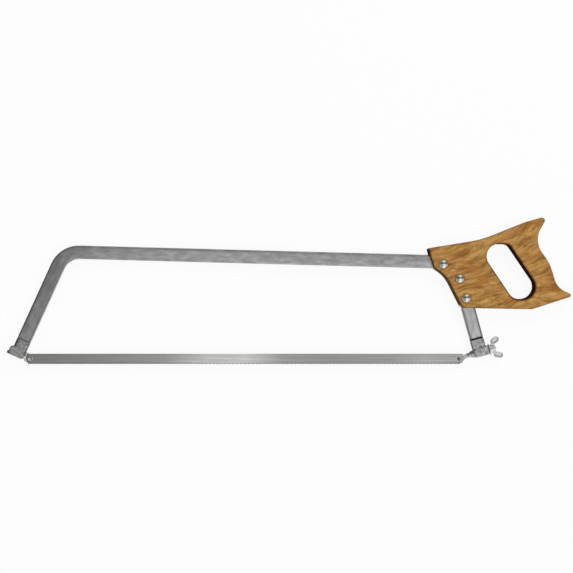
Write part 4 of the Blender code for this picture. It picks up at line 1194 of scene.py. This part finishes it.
def make_wing_nut():
    """A tapered hub and two dished wings, melted into one casting and bored for the stud.

    A wing's rows go round its rim and then in towards the line between its two centres, dropping
    into the dish: outline * (1 - share) + nearest * share.
    """
    origin = REAR_AXIS + REAR_ALONG * NUT_BASE
    foot = ((0, 0), (0, HUB_BASE_RADIUS - FIT), (2 * FIT, HUB_BASE_RADIUS))
    top = ((HUB_LENGTH - 2 * FIT, HUB_TOP_RADIUS), (HUB_LENGTH, HUB_TOP_RADIUS - FIT), (HUB_LENGTH, 0))
    solids = [shell(in_end_frame(turned((*foot, *top)), origin, REAR_ALONG))]
    half = WING_THICKNESS / 2
    inset, height = quarter_round(half, WING_EDGE, WING_EDGE)
    rim = np.stack((inset, 0 * inset, height), 1)
    dish = [(WING_EDGE, share, half - WING_DISH * drop) for share, drop in DISH_CURVE]
    face = np.vstack((rim, dish))
    inset, share, height = np.vstack((face[::-1] * (1, 1, -1), face)).T[:, :, None, None]
    for side in (1, -1):
        root, heel, tip = (np.array(place) * (1, side) for place in (WING_ROOT, WING_HEEL, WING_TIP))
        inner = heel + (root - heel) * WING_NECK_GAP / np.linalg.norm(root - heel)
        neck_line = link_line(root, WING_ROOT_RADIUS, inner, WING_NECK_RADIUS)
        neck = slab(neck_line, edge_rows(half - FIT, WING_EDGE, WING_EDGE))
        points, headings = link_line(heel, WING_TIP_RADIUS, tip, WING_TIP_RADIUS)
        run = tip - heel
        nearest = heel + np.clip((points - heel) @ run / (run @ run), 0, 1)[:, None] * run
        level = (points - outward(headings) * inset) * (1 - share) + nearest * share
        for grid in (neck, raised(level, height)):
            solids.append(shell(in_end_frame(grid, origin, REAR_ALONG), cap=True))
    cutter = bore(STUD_RADIUS, 2 * HUB_LENGTH, origin, REAR_ALONG)
    mesh = carved(melted(solids, FINE_VOXEL, WING_SMOOTHING), cutter)
    # painted shade on the wings' edges, less on the hub
    off_axis = np.abs((values_of(mesh.vertices, "co")[:, :2] - origin) @ REAR_UP)
    on_wings = 1 - HUB_CLEAN * faded(off_axis - HUB_TOP_RADIUS, SHADE_FADE)
    set_shade_and_grime(mesh, (WING_FILM + WING_EDGE_SHADE * seen_edges(mesh)) * on_wings)
    piece("winged_nut", mesh, BRIGHT_ZINC, "wing_nut", "zinc", "wing_nut")


def make_floor():
    """A broad white table top that keeps the saw's shadow and shows as white paper."""
    mesh = bpy.data.meshes.new("table_top")
    corners = [(x * FLOOR_REACH, y * FLOOR_REACH, FLOOR_LEVEL) for x, y in SQUARE]
    mesh.from_pydata(corners, [], [(0, 1, 2, 3)])
    made = bpy.data.materials.new("white_paper")
    tree = empty_tree(made)
    path = add(tree, "LightPath").outputs
    seen = path["Is Camera Ray"]
    for ray in ("Is Glossy Ray", "Is Transmission Ray"):
        seen = add(tree, "Math", {"operation": "MAXIMUM"}, {0: seen, 1: path[ray]})
    share = add(tree, "Math", {"operation": "MULTIPLY", 1: FLOOR_GLOW}, {0: seen})
    shade = add(tree, "ValToRGB", links={"Fac": seen})
    set_stops(shade, FLOOR_SHADES)
    paper = add(tree, "BsdfDiffuse", links={"Color": shade})
    white = add(tree, "Emission", {"Color": (1, 1, 1, 1), "Strength": 1.0})
    mixed = add(tree, "MixShader", links={0: share, 1: paper, 2: white})
    add(tree, "OutputMaterial", links={"Surface": mixed})
    mesh.materials.append(made)
    floor = placed("table_top", mesh)


def light_world():
    """A white room, softer as light, and in mirrors a bright near side, a dark band and a bright far side.

    What a mirror sees is the brightness along X times the sum of the two sides, and less at the dark door.
    """
    world = bpy.data.worlds.new("studio")
    bpy.context.scene.world = world
    tree = empty_tree(world)
    path = add(tree, "LightPath").outputs
    direction = add(tree, "TexCoord").outputs["Generated"]
    towards = add(tree, "SeparateXYZ", links={"Vector": direction}).outputs
    places, shades = np.transpose(ROOM_ALONG)
    brightest = shades.max()
    span = {"From Min": places[0], "From Max": places[-1]}
    share = add(tree, "MapRange", span, {"Value": towards["X"]})
    along = add(tree, "ValToRGB", links={"Fac": share})
    shares = (places - places[0]) / (places[-1] - places[0])
    set_stops(along, list(zip(shares, shades / brightest)))
    sides = []
    for start, end, first, last in (NEAR_SIDE, FAR_SIDE):
        change = {"From Min": start, "From Max": end, "To Min": first, "To Max": last}
        smooth = {"interpolation_type": "SMOOTHSTEP", **change}
        sides.append(add(tree, "MapRange", smooth, {"Value": towards["Y"]}))
    across = add(tree, "Math", {"operation": "ADD"}, {0: sides[0], 1: sides[1]})
    full = add(tree, "Math", {"operation": "MULTIPLY", 1: brightest}, {0: across})
    room = add(tree, "Math", {"operation": "MULTIPLY"}, {0: along, 1: full})
    door, inner, outer, left = DARK_DOOR
    away = add(tree, "VectorMath", {"operation": "DISTANCE", 1: door}, {0: direction}).outputs["Value"]
    beside = add(tree, "MapRange", {"From Min": inner, "From Max": outer, "To Min": left}, {"Value": away})
    room = add(tree, "Math", {"operation": "MULTIPLY"}, {0: room, 1: beside})
    mirrored = {"Value": path["Is Glossy Ray"], "To Max": room}
    strength = add(tree, "MapRange", {"To Min": WORLD_FILL}, mirrored)
    for ray in ("Is Camera Ray", "Is Transmission Ray"):
        strength = add(tree, "Math", {"operation": "MAXIMUM"}, {0: strength, 1: path[ray]})
    background = add(tree, "Background", {"Color": (1, 1, 1, 1)}, {"Strength": strength})
    add(tree, "OutputWorld", links={"Surface": background})


def add_lamp(name, place, aim, size, power):
    """A soft rectangular lamp that points at a place on the table."""
    lamp = bpy.data.lights.new(name, "AREA")
    lamp.shape = "RECTANGLE"
    lamp.size, lamp.size_y = size
    lamp.energy = power
    obj = placed(name, lamp)
    obj.visible_glossy = False
    obj.location = place
    obj.rotation_euler = (Vector(aim) - Vector(place)).to_track_quat("-Z", "Y").to_euler()


def set_camera():
    """Straight above the saw, with the top of the picture towards the spine."""
    camera = bpy.data.cameras.new("camera")
    camera.sensor_width = SENSOR
    camera.lens = SENSOR * CAMERA_DISTANCE / (PICTURE_SIDE * PIXEL)
    obj = placed("camera", camera)
    across = (PICTURE_SIDE / 2 - FRONT_PIN_PIXEL[0]) * PIXEL
    down = (PICTURE_SIDE / 2 - FRONT_PIN_PIXEL[1]) * PIXEL
    obj.location = (FRONT_PIN[0] + across, FRONT_PIN[1] - down, MIDDLE + CAMERA_DISTANCE)
    bpy.context.scene.camera = obj


make_frame_tube()
make_handle()
for bolt_number, bolt_place in enumerate(BOLTS, 1):
    make_bolt(bolt_number, bolt_place)
    make_nut(bolt_number, bolt_place)
make_blade()
make_castings()
make_front_hook()
make_tension_stud()
make_pin("front_pin", FRONT_PIN, FORGED_STEEL, "frame", "front_blade_pin")
make_pin("rear_pin", REAR_PIN, DARK_PIN_STEEL, "tension_stud", "rear_blade_pin")
make_washer()
make_wing_nut()
make_floor()
light_world()
for lamp_values in LAMPS:
    add_lamp(*lamp_values)
set_camera()
bpy.context.scene.view_settings.view_transform = "Standard"
